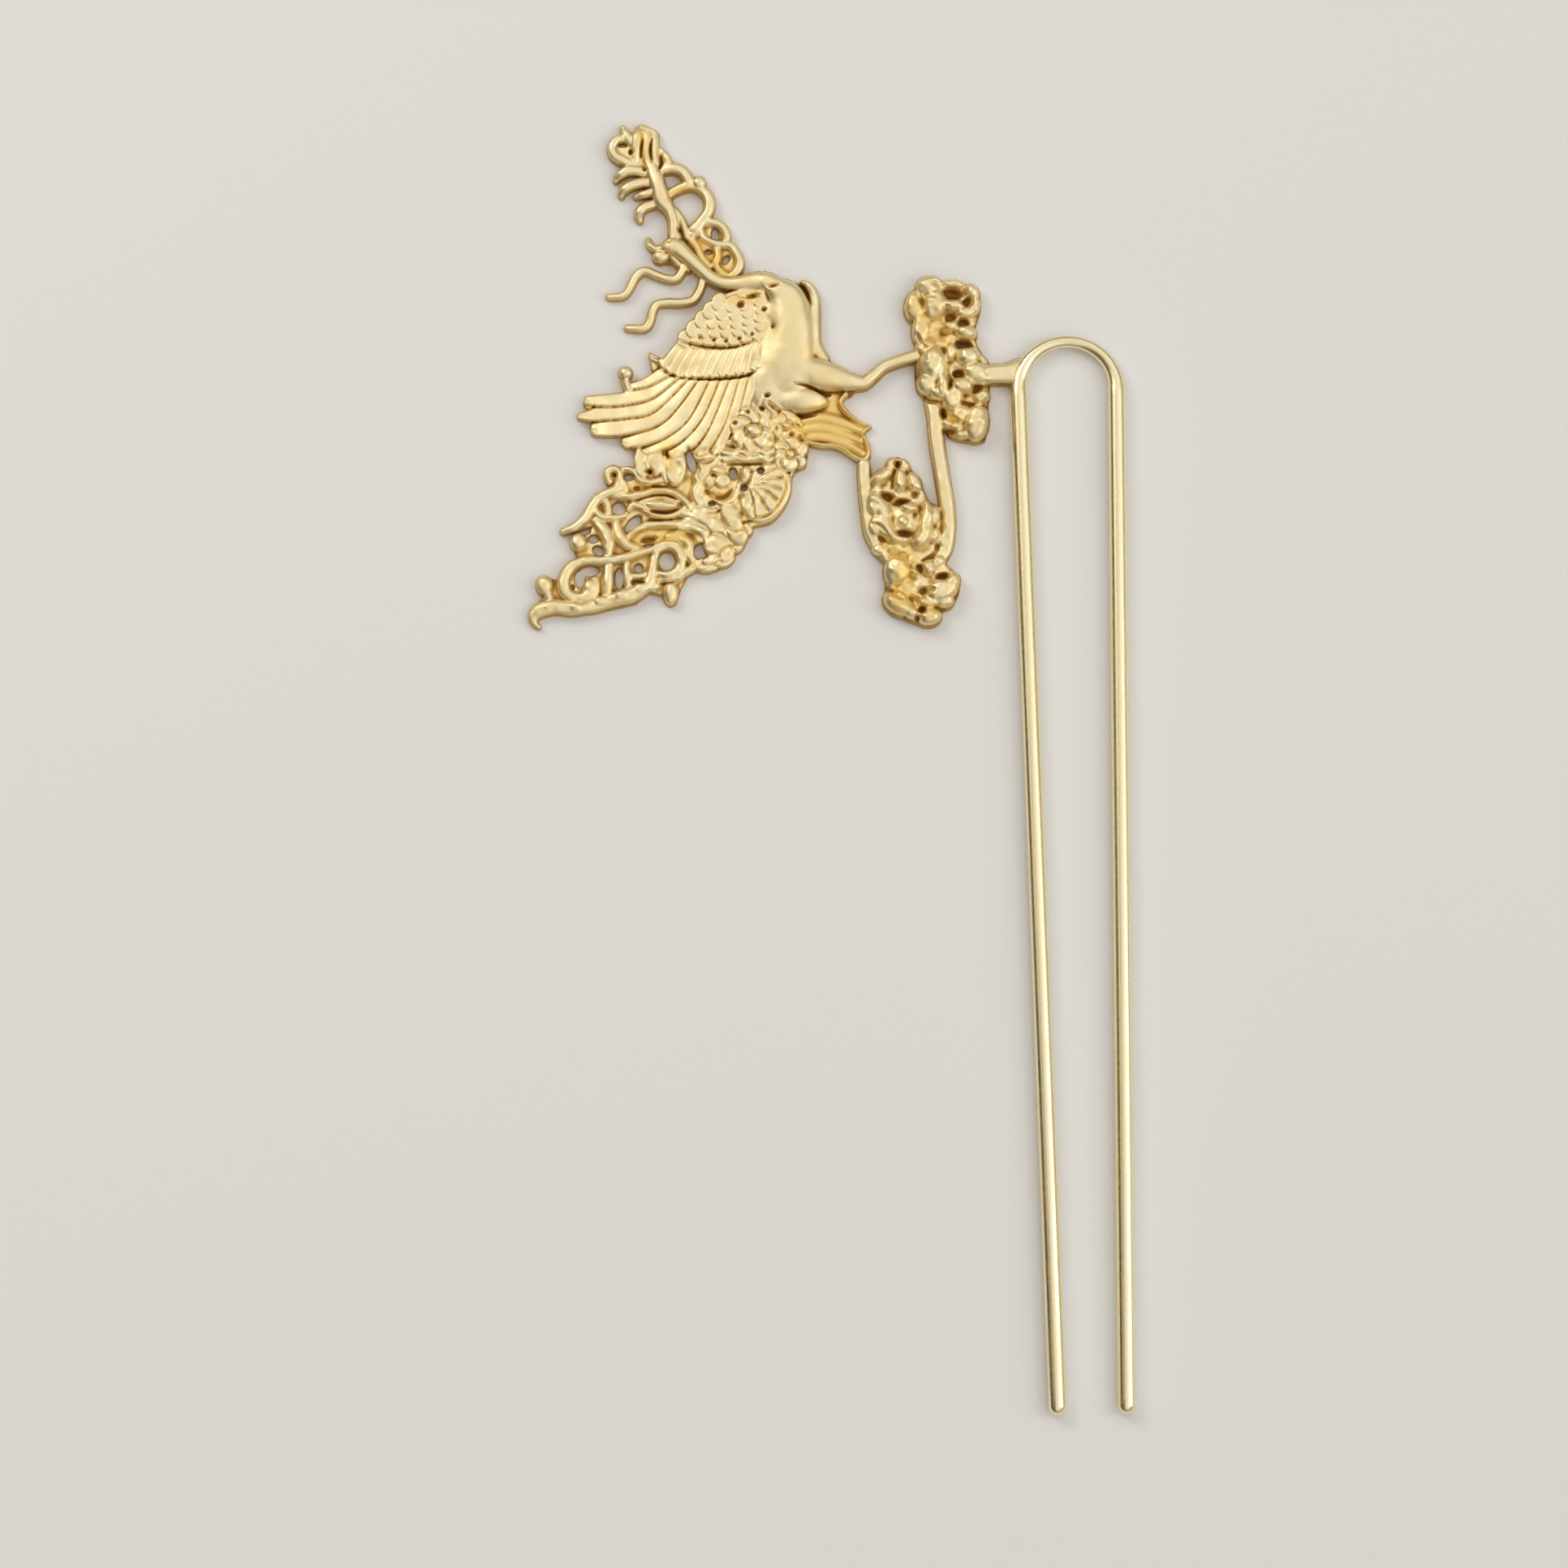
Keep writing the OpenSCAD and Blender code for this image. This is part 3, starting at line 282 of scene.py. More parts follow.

    # Deeper gold along rows of x, y, width: mostly painted shade in creases, beside pits and under
    # raised parts
    def warm(self, table):
        for amount, rows in table:
            cut, near, top, wide, side = self.along([[*row, 1] for row in rows])
            glow = amount * np.clip(1 - near ** 2, 0, 1) ** 0.7
            self.shadeAndWarmth[cut] = np.maximum(self.shadeAndWarmth[cut], glow)

    # What comes last on a piece: its creases, pits, holes and deeper gold, mostly painted shade
    def detail(self, look):
        self.creases(look.get("creases", []))
        self.pits(look.get("pits", []))
        self.holes(look.get("holes", []))
        self.warm(look.get("warm", []))

    # Mean of the metal around each point
    def around(self, spread):
        inside = self.reach > 0
        weight = blurred(inside.astype(float), spread) + tiny
        return blurred(self.height * inside, spread) / weight

    # Cast finish: melted corners, slight unevenness and a rounded rim
    def finish(self, rim, seed):
        look = castingLook
        inside = self.reach > 0
        petals = blurred(self.knobs, 4)
        spread, share = look["petalMelt"]
        for spread, share in ((look["melt"], 1), (spread, share * petals)):
            melted = self.height + (self.around(spread) - self.height) * share
            self.height = np.where(inside, melted, self.height)
        draw = np.random.default_rng(seed).standard_normal
        spread, share = look["petalUneven"]
        for spread, share in (look["uneven"], (spread, share * petals)):
            rough = blurred(draw(self.height.shape), spread / self.pitch)
            self.height += share * rough / rough.std()
        edge = np.clip(1 - self.reach / rim, 0, 1)
        self.height -= rim * (1 - np.sqrt(1 - edge ** 2))
        self.height = np.maximum(self.height, look["thinnest"])
        self.shadeAndWarmth = np.maximum(self.shadeAndWarmth, look["petalWarmth"] * blurred(self.knobs, 8))
        # Painted shade: how far each point lies below the metal around it
        self.recessShade = np.zeros(self.height.shape)
        for spread, share, depth in look["recesses"]:
            sunk = (self.around(spread / self.pitch) - self.height) / depth
            self.recessShade += share * np.clip(sunk, look["ridgeRecess"], 1)
        # The upright sides get the painted side shade
        onTop = self.reach > look["sideWidth"] * self.pitch
        self.recessShade = blurred(np.where(onTop, self.recessShade, look["sideRecess"]), 0.8)

    def sample(self, field, x, y):
        u = np.clip((x - self.x[0]) / self.pitch, 0, len(self.x) - 1.001)
        v = np.clip((y - self.y[0]) / self.pitch, 0, len(self.y) - 1.001)
        i, j = u.astype(int), v.astype(int)
        u, v = u - i, v - j
        low = field[j, i] * (1 - u) + field[j, i + 1] * u
        return low * (1 - v) + (field[j + 1, i] * (1 - u) + field[j + 1, i + 1] * u) * v

    # Closed body: relief on top, upright sides, flat back
    def build(self, name, mostTriangles):
        inside = self.reach > 0
        inside[0] = inside[-1] = False
        inside[:, 0] = inside[:, -1] = False
        number = np.full(inside.shape, -1)
        number[inside] = np.arange(inside.sum())
        j, i = np.nonzero(inside)
        points = np.column_stack([self.x[i], self.y[j], self.height[inside]]).tolist()
        cell = ((0, 0), (0, 1), (1, 1), (1, 0))
        filled = sum(inside[down:len(inside) - 1 + down, over:len(inside[0]) - 1 + over].astype(int)
                     for down, over in cell)
        j, i = np.nonzero(filled == 4)
        faces = np.column_stack([number[j + down, i + over] for down, over in cell]).tolist()
        onEdge = {}

        def edgePoint(a, b):
            first, second = key = (min(a, b), max(a, b))
            if key not in onEdge:
                onEdge[key] = len(points)
                share = self.reach[first] / (self.reach[first] - self.reach[second])
                share = min(max(share, 0.1), 0.9)
                height = self.height[first if inside[first] else second]
                start, end = (np.array([self.x[p[1]], self.y[p[0]]]) for p in (first, second))
                points.append([*(start + (end - start) * share),
                               max(height - self.pitch, castingLook["thinnest"])])
            return onEdge[key]

        outline = []
        for j, i in zip(*np.nonzero((filled > 0) & (filled < 4))):
            corners = [(j + down, i + over) for down, over in cell]
            face, leaving = [], []
            for a, b in zip(corners, corners[1:] + corners[:1]):
                if inside[a]:
                    face.append(int(number[a]))
                if inside[a] != inside[b]:
                    if inside[a]:
                        leaving.append(len(face))
                    face.append(edgePoint(a, b))
            faces.append(face)
            outline += [(face[k], face[(k + 1) % len(face)]) for k in leaving]
        edge, following = zip(*outline)  # every point of the outline and the one that follows it
        order = {p: k for k, p in enumerate(edge)}
        following = np.array([order[p] for p in following])
        before = np.argsort(following)
        place = np.array([points[p][:2] for p in edge])
        for _ in range(castingLook["outlineRounds"]):
            place = place / 2 + (place[following] + place[before]) / 4
        for p, (x, y) in zip(edge, place.tolist()):
            points[p][:2] = x, y
        foot = {}
        for p in dict.fromkeys(p for pair in outline for p in pair):
            foot[p] = len(points)
            points.append([*points[p][:2], 0.0])
        faces += [[b, a, foot[a], foot[b]] for a, b in outline]
        piece = newPiece(name, points, faces, [(foot[a], foot[b]) for a, b in outline])
        thinOut(piece, mostTriangles)
        self.colour(piece.data)
        return piece

    # Painted shade of the recesses and the deeper gold along the rows (mostly painted shade too) at
    # each point of the mesh, for the metal's colour
    def colour(self, mesh):
        place = np.empty(len(mesh.vertices) * 3)
        mesh.vertices.foreach_get("co", place)
        x, y, z = place.reshape(-1, 3).T / mm
        for title, field in (("recessShade", self.recessShade), ("shadeAndWarmth", self.shadeAndWarmth)):
            values = mesh.attributes.new(title, "FLOAT", "POINT")
            values.data.foreach_set("value", self.sample(field, x, y).astype(np.float32))
        shadeSmooth(mesh)
        mesh.set_sharp_from_angle(angle=math.radians(castingLook["sharpAngle"]))


# Socket of a shader node, so that sums on it read as sums
class Socket:
    def __init__(self, tree, out):
        self.tree = tree
        self.out = out

    def maths(self, operation, *values):
        return self.tree.node("ShaderNodeMath", {"operation": operation}, values)

    def __add__(self, other):
        return self.maths("ADD", self, other)

    def __radd__(self, other):
        return self.maths("ADD", other, self)

    def __sub__(self, other):
        return self.maths("SUBTRACT", self, other)

    def __rsub__(self, other):
        return self.maths("SUBTRACT", other, self)

    def __mul__(self, other):
        return self.maths("MULTIPLY", self, other)

    def __rmul__(self, other):
        return self.maths("MULTIPLY", other, self)

    def clamped(self, low=0, high=1):
        return self.maths("MINIMUM", self.maths("MAXIMUM", self, low), high)


# Node tree of a material or of the world, emptied and built up again
class Shades:
    def __init__(self, owner):
        owner.use_nodes = True
        self.nodes = owner.node_tree.nodes
        self.links = owner.node_tree.links
        self.nodes.clear()

    # Any node: its settings first, then socket values or links, by name or in order
    def node(self, kind, settings=None, inputs=(), output=0):
        made = self.nodes.new(kind)
        for key, value in (settings or {}).items():
            setattr(made, key, value)
        for key, value in inputs.items() if isinstance(inputs, dict) else enumerate(inputs):
            socket = made.inputs[key]
            if isinstance(value, Socket):
                self.links.new(value.out, socket)
            elif socket.type == "RGBA":
                socket.default_value = (*value, 1)
            else:
                socket.default_value = value
        return Socket(self, made.outputs[output]) if made.outputs else None

    def mixed(self, share, a, b):
        return self.node("ShaderNodeMix", {"data_type": "RGBA"}, {0: share, 6: a, 7: b}, output=2)

    # From low to high in a smooth step
    def step(self, value, start, end, low=0.0, high=1.0):
        return self.node("ShaderNodeMapRange", {"interpolation_type": "SMOOTHSTEP"},
                         {0: value, 1: start, 2: end, 3: low, 4: high})


goldLook = {
    "bright": (0.93, 0.80, 0.50),
    # warm: the warmer gold of the clouds, and of the painted shade in hollows
    "warm": (0.9, 0.65, 0.22),
    # deep: the painted shade colour of the deepest recesses
    "deep": (0.30, 0.15, 0.03),
    "clouds": (240.0, 3.0),  # slow changes of tone: how many a metre, and octaves
    "grain": (1400.0, 4.0),
    "cloudTint": (2, 0.7, 0.45),  # contrast, start and share of the warm gold in them
    "roughness": 0.46,
    "cloudRough": 0.2,
    "grainRough": 0.14,
    "roughLimits": (0.08, 0.8),
    "bump": 0.16,
    "bumpHeight": 0.12 * mm,
    "warmRecess": (1.6, 0.1, 0.8),  # painted shade in the recesses: gain with depth, start and the most
    "deepRecess": (1.9, 0.55, 0.94),
    "recessRough": 0.2,
}
# The wire's gold: a lighter copy of the cast gold, painted light so that the prongs read brighter
wireLitLook = dict(goldLook, bright=(0.98, 0.88, 0.58), warm=(0.95, 0.74, 0.36), roughness=0.26,
                bump=0.06)


def goldMetal(name, look, cast=True):
    material = bpy.data.materials.new(name)
    metal = Shades(material)
    place = metal.node("ShaderNodeTexCoord", output=3)
    cloud, grain = (metal.node("ShaderNodeTexNoise", {},
                               {"Vector": place, "Scale": scale, "Detail": detail})
                    for scale, detail in (look["clouds"], look["grain"]))
    gain, start, share = look["cloudTint"]
    colour = metal.mixed((cloud * gain - start).clamped() * share, look["bright"], look["warm"])
    rough = (look["roughness"] + (cloud - 0.5) * look["cloudRough"]
             + (grain - 0.5) * look["grainRough"])
    if cast:
        recessShade, shadeAndWarmth = (metal.node("ShaderNodeAttribute", {"attribute_name": title}, output=2)
                          for title in ("recessShade", "shadeAndWarmth"))
        # Deeper gold along the rows, mostly painted shade
        colour = metal.mixed(shadeAndWarmth.clamped(), colour, look["warm"])
        # Painted shade: warm, then deep gold in the recesses
        for tone in ("warm", "deep"):
            gain, start, most = look[tone + "Recess"]
            colour = metal.mixed((recessShade * gain - start).clamped(0, most), colour, look[tone])
        rough = rough + recessShade.clamped() * look["recessRough"]
    bump = metal.node("ShaderNodeBump", {}, {
        "Strength": look["bump"], "Distance": look["bumpHeight"], "Height": grain})
    shader = metal.node("ShaderNodeBsdfPrincipled", {}, {
        "Base Color": colour, "Metallic": 1.0, "Normal": bump,
        "Roughness": rough.clamped(*look["roughLimits"])})
    metal.node("ShaderNodeOutputMaterial", {}, {"Surface": shader})
    return material


crest = {
    "tuft": [
        [-27.7, 77.4], [-27.3, 78.5], [-26.2, 79.1], [-25.7, 80.4], [-25.1, 80.2], [-24.7, 79.7],
        [-24, 80.3], [-23.2, 80.7], [-22.3, 80.5], [-21.5, 80.1], [-21.3, 79.2], [-21.1, 78],
        [-20.6, 77.8], [-19.6, 76.1], [-20, 75.2], [-22.6, 75.4], [-24.8, 75.4], [-26.4, 76.1],
        [-27.4, 76.7],
    ],
    "curlBed": [
        [-16.9, 67], [-15.6, 68.8], [-14.1, 68.6], [-12.9, 67.7], [-12.4, 66.2], [-11, 64.9],
        [-10.6, 63], [-11.3, 61.6], [-13, 60.8], [-14.6, 61.8], [-17.6, 64.2],
    ],
    "gaps": [
        [-25.5, 78.2, 1.5, 0.5, 5], [-14.1, 66.7, 0.9, 1.8, 5], [-14.9, 64.5, 0.9, 0.6, -10],
        [-12.7, 63.5, 0.8, 1.2, -30],
    ],
    "curls": [
        [[-24.9, 78.9, 1, 1.4], [-26.2, 79, 1.2, 1.6], [-27, 77.9, 1.3, 1.7],
         [-26.7, 76.8, 1.4, 1.7], [-25.6, 76.2, 1.4, 1.6], [-24, 75.6, 1.1, 1.4]],
        [[-25.6, 80.4, 0.9, 1.2], [-25.2, 79.5, 1.3, 1.6], [-24.6, 78.4, 1.2, 1.5]],
        [[-23.3, 80.3, 1.3, 1.3], [-23.7, 79.2, 1.9, 1.8], [-24, 77.6, 1.5, 1.7],
         [-24.1, 75.9, 1.1, 1.4]],
        [[-22.5, 80.1, 1.1, 1.2], [-22.5, 79, 1.3, 1.6], [-22.8, 77.4, 1.3, 1.7],
         [-22.5, 75.8, 1.3, 1.5]],
        [[-21.5, 79.6, 0.9, 1.2], [-21.6, 78.8, 1.1, 1.5], [-21.7, 77.2, 1.1, 1.6],
         [-21.5, 75.6, 1.1, 1.5]],
        [[-20.8, 77.5, 0.7, 1.2], [-20.3, 76.8, 1.1, 1.6], [-20, 75.8, 1.2, 1.6],
         [-20.6, 75, 1.2, 1.5]],
        [[-26.5, 73.7, 0.9, 1.1], [-26, 74.3, 1.3, 1.6], [-25, 74.9, 1.5, 1.7],
         [-23.8, 74.9, 1.4, 1.6], [-22.4, 74.4, 1.2, 1.4]],
        [[-25.8, 71.7, 0.9, 1.1], [-25.5, 72.4, 1.3, 1.6], [-24.6, 73, 1.4, 1.7],
         [-23.2, 73.4, 1.4, 1.6], [-21.6, 73.3, 1.2, 1.4]],
        [[-24, 71.6, 0.8, 1.1], [-23.2, 71.8, 1.1, 1.5], [-22.2, 72.1, 1.2, 1.6],
         [-21, 72.5, 1.1, 1.4]],
        [[-23.5, 68.6, 1, 1.1], [-23.6, 69.4, 1.4, 1.6], [-22.9, 70.2, 1.4, 1.6],
         [-21.2, 70.8, 1.3, 1.4]],
        [[-22.3, 75.8, 1.6, 1.6], [-21.6, 74.2, 2.1, 1.9], [-21.1, 72.6, 2.1, 2],
         [-20.7, 71.2, 2.3, 2], [-19.8, 69.8, 1.7, 1.9], [-19.3, 68.4, 1.6, 1.9],
         [-19.2, 66.8, 1.7, 1.9], [-19, 65.2, 2, 1.9]],
        [[-20.8, 74.8, 1.1, 1.5], [-19.4, 75.2, 1.5, 1.7], [-18.2, 74.8, 1.6, 1.7],
         [-17.5, 73.8, 1.6, 1.7], [-17.6, 73, 1.4, 1.6], [-18.6, 72.6, 1.4, 1.5],
         [-19.7, 71.9, 1.3, 1.5], [-20.3, 70.9, 1.2, 1.5]],
        [[-18, 72.7, 1, 1.5], [-16.5, 72.8, 1.3, 1.6], [-15.3, 72, 1.5, 1.7],
         [-14.8, 70.8, 1.6, 1.8], [-15, 69.5, 1.5, 1.8], [-15.8, 68.4, 1.5, 1.7],
         [-16.5, 67.4, 1.9, 1.8], [-16.9, 66.8, 1.4, 1.5]],
        [[-20.2, 70.9, 0.9, 1.4], [-18.9, 69.5, 1, 1.6], [-18, 68, 1, 1.6],
         [-17.6, 66.4, 0.9, 1.4]],
        [[-15.8, 68, 1, 1.4], [-14.6, 68.3, 1.2, 1.6], [-13.4, 67.9, 1.2, 1.6],
         [-12.7, 66.8, 1.2, 1.6], [-12.8, 65.4, 1.1, 1.4]],
        [[-16, 67.4, 1.1, 1.4], [-15.4, 66.2, 1, 1.5], [-13.9, 65.5, 1.1, 1.6],
         [-12.3, 65.3, 1.2, 1.6], [-11.4, 64.3, 1.2, 1.7], [-11, 63.1, 1.3, 1.7],
         [-11.4, 61.9, 1.3, 1.6], [-12.6, 61.1, 1.2, 1.4]],
        [[-14, 65.4, 1, 1.4], [-13.7, 64, 1.1, 1.6], [-14, 62.9, 1.1, 1.6], [-13.3, 61.8, 1.2, 1.5],
         [-12.2, 61.1, 1.1, 1.4]],
        [[-17.2, 66.2, 1.1, 1.3], [-16.4, 65.2, 1.2, 1.4], [-15.8, 63.9, 1.1, 1.4],
         [-14.8, 62.6, 1.1, 1.4]],
    ],
    "knob": [-16.1, 73.3, 1.9, 1.9, 0, 1.9],
    "creases": [
        [[-23.1, 79.6, 0.3, 0.3], [-23.3, 78, 0.4, 0.6], [-23.3, 76.6, 0.3, 0.3]],
        [[-22, 79, 0.3, 0.3], [-22.2, 77.6, 0.4, 0.6], [-22, 76, 0.3, 0.3]],
        [[-20.9, 76.8, 0.3, 0.3], [-20.8, 75.8, 0.4, 0.5], [-21.2, 74.8, 0.3, 0.2]],
    ],
    "pits": [
        [-24.6, 77.3, 0.8, 1, 0, 0.7], [-22.9, 75, 0.8, 0.6, 0, 0.5], [-23, 72.6, 1, 0.5, 10, 0.5],
        [-22.8, 71.2, 1.2, 0.5, 10, 0.5], [-18.6, 67.2, 0.6, 1.2, 20, 0.5],
    ],
    # Painted shade in the creases, under the strut and beside the gaps among the curls
    "warm": [
        [0.6, [[-23.2, 79.6, 2.4], [-22.8, 76, 1.6]]],
        [0.9, [[-20, 71, 0.9], [-18.8, 72.1, 1.1], [-17.2, 72.5, 0.9]]],
        [1, [[-16.4, 65.4, 1.8], [-14, 63.4, 3], [-12.6, 61.8, 2]]],
    ],
}


def sculptCrest(relief):
    relief.sheet(crest["tuft"], top=1.2)
    relief.sheet(crest["curlBed"], top=1)
    relief.holes(crest["gaps"])
    relief.strokes(crest["curls"], fullness=2.8, soft=0.12)
    relief.petals([crest["knob"]])
    relief.detail(crest)


head = {
    "ribbons": [
        [[-17.4, 63.6, 1, 1.6], [-18.1, 62.2, 1, 1.6], [-18.9, 61.1, 1, 1.5], [-20.2, 61.1, 1, 1.5],
         [-21.5, 61.6, 1, 1.4], [-22.9, 62.1, 1, 1.4], [-24, 61.3, 1, 1.4], [-24.8, 59.7, 0.9, 1.3],
         [-25.6, 58.9, 0.9, 1.2], [-27.3, 58.8, 0.8, 1]],
        [[-15.6, 61, 1, 1.6], [-16, 59.6, 1, 1.6], [-16.8, 58.4, 1, 1.5], [-18.4, 58, 1, 1.5],
         [-20, 58, 1, 1.4], [-21.3, 57.8, 1, 1.4], [-21.9, 56.8, 1, 1.4], [-22.2, 55.6, 1, 1.3],
         [-22.9, 54.8, 1, 1.2], [-25, 54.8, 0.8, 1]],
    ],
    "throat": [
        [-20.9, 64.2], [-20.6, 63], [-19.4, 62.9], [-18.2, 62.6], [-16.9, 62.6], [-15.6, 60.6],
        [-14.2, 60.4], [-16.4, 63.6], [-18.2, 65],
    ],
    "neck": [
        [-19.6, 65.3, 1.9, 1.9], [-18.7, 64.8, 2.3, 2.2], [-17.4, 63.6, 2, 2.2],
        [-16, 62.3, 1.8, 2.1], [-14.7, 61.2, 1.8, 2.1], [-13.3, 60.5, 1.8, 2.1],
        [-11.6, 60.3, 1.9, 2.2], [-9.8, 60.5, 2.3, 2.4], [-8, 60.5, 2.9, 2.6],
        [-6.4, 59.6, 3.2, 2.5],
    ],
    "crown": [-19.4, 65.1, 3.1, 2.4, 10, 2.3],
    "beak": [
        [-22.4, 66.1, 0.8, 1.2], [-22.2, 65.3, 1.1, 1.6], [-21.4, 64.8, 1.1, 1.6],
        [-20.2, 65, 1.4, 1.9],
    ],
    "cheek": [-20.9, 63.8, 2.2, 1.9, 10, 1.9],
    "wattle": [[-19.6, 64, 1, 1.5], [-18.6, 62.9, 1.1, 1.5], [-17.4, 62.2, 1, 1.4]],
    "pits": [
        [-18.5, 65.9, 0.8, 0.7, 0, 0.35], [-19.8, 65.6, 0.6, 0.5, 0, 0.25],
        [-20.1, 64.3, 0.9, 0.5, -20, 0.4],
    ],
}


# Head, neck and the two ribbons that blow back from it
def sculptHead(relief):
    relief.strokes(head["ribbons"], widen=1.2, fullness=2.4)
    relief.sheet(head["throat"], top=1, smooth=False)
    relief.strokes([head["neck"]], fullness=2.8, soft=0.3)
    relief.petals([head["crown"]], soft=0.25)
    relief.strokes([head["beak"]], soft=0.2)
    relief.petals([head["cheek"]], soft=0.2)
    relief.strokes([head["wattle"]], soft=0.15)
    relief.detail(head)


wing = {
    "outline": [
        [-7, 59.2], [-13.4, 58.8], [-14.2, 57.4], [-15.4, 56], [-17.2, 54.8], [-18.4, 53.2],
        [-19.2, 51.3], [-20.6, 50.8], [-22, 51.6], [-22.2, 50.4], [-21.9, 49], [-22.8, 48.4],
        [-24.6, 47.9], [-25.8, 46.3], [-30.2, 46], [-30.5, 45], [-30, 44.4], [-31.2, 43.9],
        [-31.2, 43.1], [-29.6, 42.8], [-29.5, 41.1], [-25.8, 41], [-25.2, 39.8], [-23.8, 39.2],
        [-17, 38.8], [-8, 42], [-6.6, 46],
    ],
    "feathers": [
        [[-10, 43.4, 1.6, 1.3], [-9.2, 46, 2, 1.7], [-8, 49.6, 1.8, 1.9]],
        [[-12, 41.4, 1.6, 1.2], [-11, 44, 1.9, 1.6], [-9.4, 49.2, 1.5, 1.9]],
        [[-14, 39.4, 1.6, 1.2], [-13, 41.6, 1.9, 1.5], [-12.1, 44, 1.8, 1.7],
         [-10.6, 49, 1.4, 1.9]],
        [[-15.9, 39.2, 1.6, 1.2], [-14.7, 41.2, 1.9, 1.5], [-13.5, 43.6, 1.8, 1.7],
         [-11.7, 49, 1.4, 1.9]],
        [[-19.2, 39, 1.6, 1.2], [-17.4, 40.2, 1.9, 1.5], [-15.9, 42, 1.8, 1.6],
         [-14.7, 44.4, 1.6, 1.7], [-12.8, 48.8, 1.3, 1.9]],
        [[-22.4, 39.5, 1.5, 1.2], [-20.2, 40.3, 2, 1.5], [-18.3, 41.6, 2, 1.6],
         [-16.3, 44, 1.8, 1.7], [-14, 48.8, 1.3, 1.9]],
        [[-24.9, 40.3, 1.7, 1.2], [-22.8, 41, 2.4, 1.5], [-20.6, 42, 2.5, 1.6],
         [-18.2, 43.9, 2.2, 1.7], [-15.2, 48.8, 1.3, 1.9]],
        [[-28.6, 41.9, 1.9, 1.3], [-27.2, 42, 2.2, 1.5], [-24.4, 42.5, 2.4, 1.6],
         [-20.8, 43.9, 2.2, 1.7], [-16.6, 48.6, 1.3, 1.9]],
        [[-30.8, 43.5, 0.9, 1.4], [-29.4, 43.6, 1.5, 1.5], [-28, 43.9, 1.9, 1.5],
         [-25, 44.2, 2, 1.6], [-22, 44.9, 1.9, 1.7], [-17.9, 48.6, 1.3, 1.9]],
        [[-29.8, 45.5, 1.2, 1.4], [-27.6, 45.5, 1.6, 1.5], [-24.8, 45.8, 1.7, 1.6],
         [-22.2, 46.5, 1.7, 1.7], [-19.2, 48.6, 1.3, 1.9]],
        [[-24.4, 47.3, 0.9, 1.4], [-22.6, 47.8, 1.2, 1.6], [-20.8, 48.8, 1.4, 1.7],
         [-19, 49.8, 1.2, 1.9]],
    ],
    "featherSink": (0.25, 0.2, 5),  # grooves between them, deeper towards the left
    "coverts": [
        [-21.2, 50.4], [-19.6, 48.9], [-18, 48.3], [-15.6, 48.2], [-12.2, 48.5], [-10.2, 48.7],
        [-8.8, 49.4], [-6.4, 50.6], [-6.6, 59.4], [-13.2, 58.8], [-15.4, 56], [-17.2, 54.8],
        [-18.4, 53.2], [-19.2, 51.4],
    ],
    "covertShade": [
        [-20.4, 49.2, 0.4, 0.3], [-19, 48.5, 0.45, 0.7], [-15.6, 48.15, 0.45, 0.8],
        [-12.2, 48.25, 0.45, 0.8], [-10, 48.65, 0.45, 0.8], [-8.6, 49.3, 0.4, 0.6],
        [-7.6, 49.9, 0.4, 0.2],
    ],
    "lowerEdge": [
        [-20.6, 50], [-18.8, 48.8], [-15.6, 48.6], [-12.2, 48.8], [-10, 49.2], [-7.8, 50.4],
    ],
    "middleEdge": [
        [-18.8, 52.6], [-16.6, 52.4], [-14, 52], [-11.6, 52], [-9.6, 52.4], [-7.6, 53.6],
    ],
    "covertCount": 13,
    "covertRows": [[1, 1.95], [1.15, 2.15], [1.1, 2.2]],  # width, top at tip, middle and root
    "covertShift": (0.35, 0.9),  # of tip and root along the two edges
    "scaleSize": (2.5, 1.9),
    "scaleTurn": (75, 12),  # at the left, and how much less at the right
    "scaleSag": 0.5,
    "scaleRise": 0.3,
    "scaleRows": [  # from, to, count, top, depth of the grooves
        [[-17.8, 53], [-8.6, 53.8], 7, 2.12, 0.26],
        [[-16.8, 54.2], [-8.2, 54.9], 7, 2.16, 0.2],
        [[-15.7, 55.4], [-8.4, 56], 6, 2.2, 0.13],
        [[-14.7, 56.5], [-8.2, 57], 5, 2.24, 0.09],
        [[-13.6, 57.6], [-8.4, 58], 4, 2.26, 0.07],
    ],
    "scaleShade": [
        [-18.6, 53, 0.3, 0.2], [-16.4, 52.35, 0.4, 0.55], [-13.6, 52.05, 0.45, 0.6],
        [-11.4, 52.2, 0.4, 0.5], [-9.4, 52.9, 0.3, 0.2],
    ],
    "hook": [
        [-22.1, 51.5, 0.5, 1.1], [-21.9, 50.8, 0.7, 1.4], [-20.6, 50.3, 0.9, 1.6],
        [-19, 51, 0.9, 1.9],
    ],
    "spur": [[-25.2, 49, 1.6, 1.6], [-25.2, 48, 1.2, 1.5], [-24.8, 46.8, 1.3, 1.5]],
    "knob": [-25.2, 49, 1.9, 1.8, 0, 1.9],
    "pits": [
        [-10.9, 57.5, 1.1, 1.1, 0, 0.8], [-9.5, 58.6, 2.6, 0.8, 8, 0.7],
        [-15.9, 53.4, 0.6, 0.5, 0, 0.5], [-14.2, 53.1, 0.6, 0.5, 0, 0.5],
        [-12.7, 52.9, 0.6, 0.5, 0, 0.5], [-11, 53.2, 0.6, 0.5, 0, 0.5],
        [-9.5, 53.8, 0.6, 0.5, 0, 0.5],
    ],
    # Painted shadow under the neck
    "warm": [[0.7, [[-12.6, 58, 1.4], [-10.8, 58.2, 2], [-9, 58.4, 1.8]]]],
}


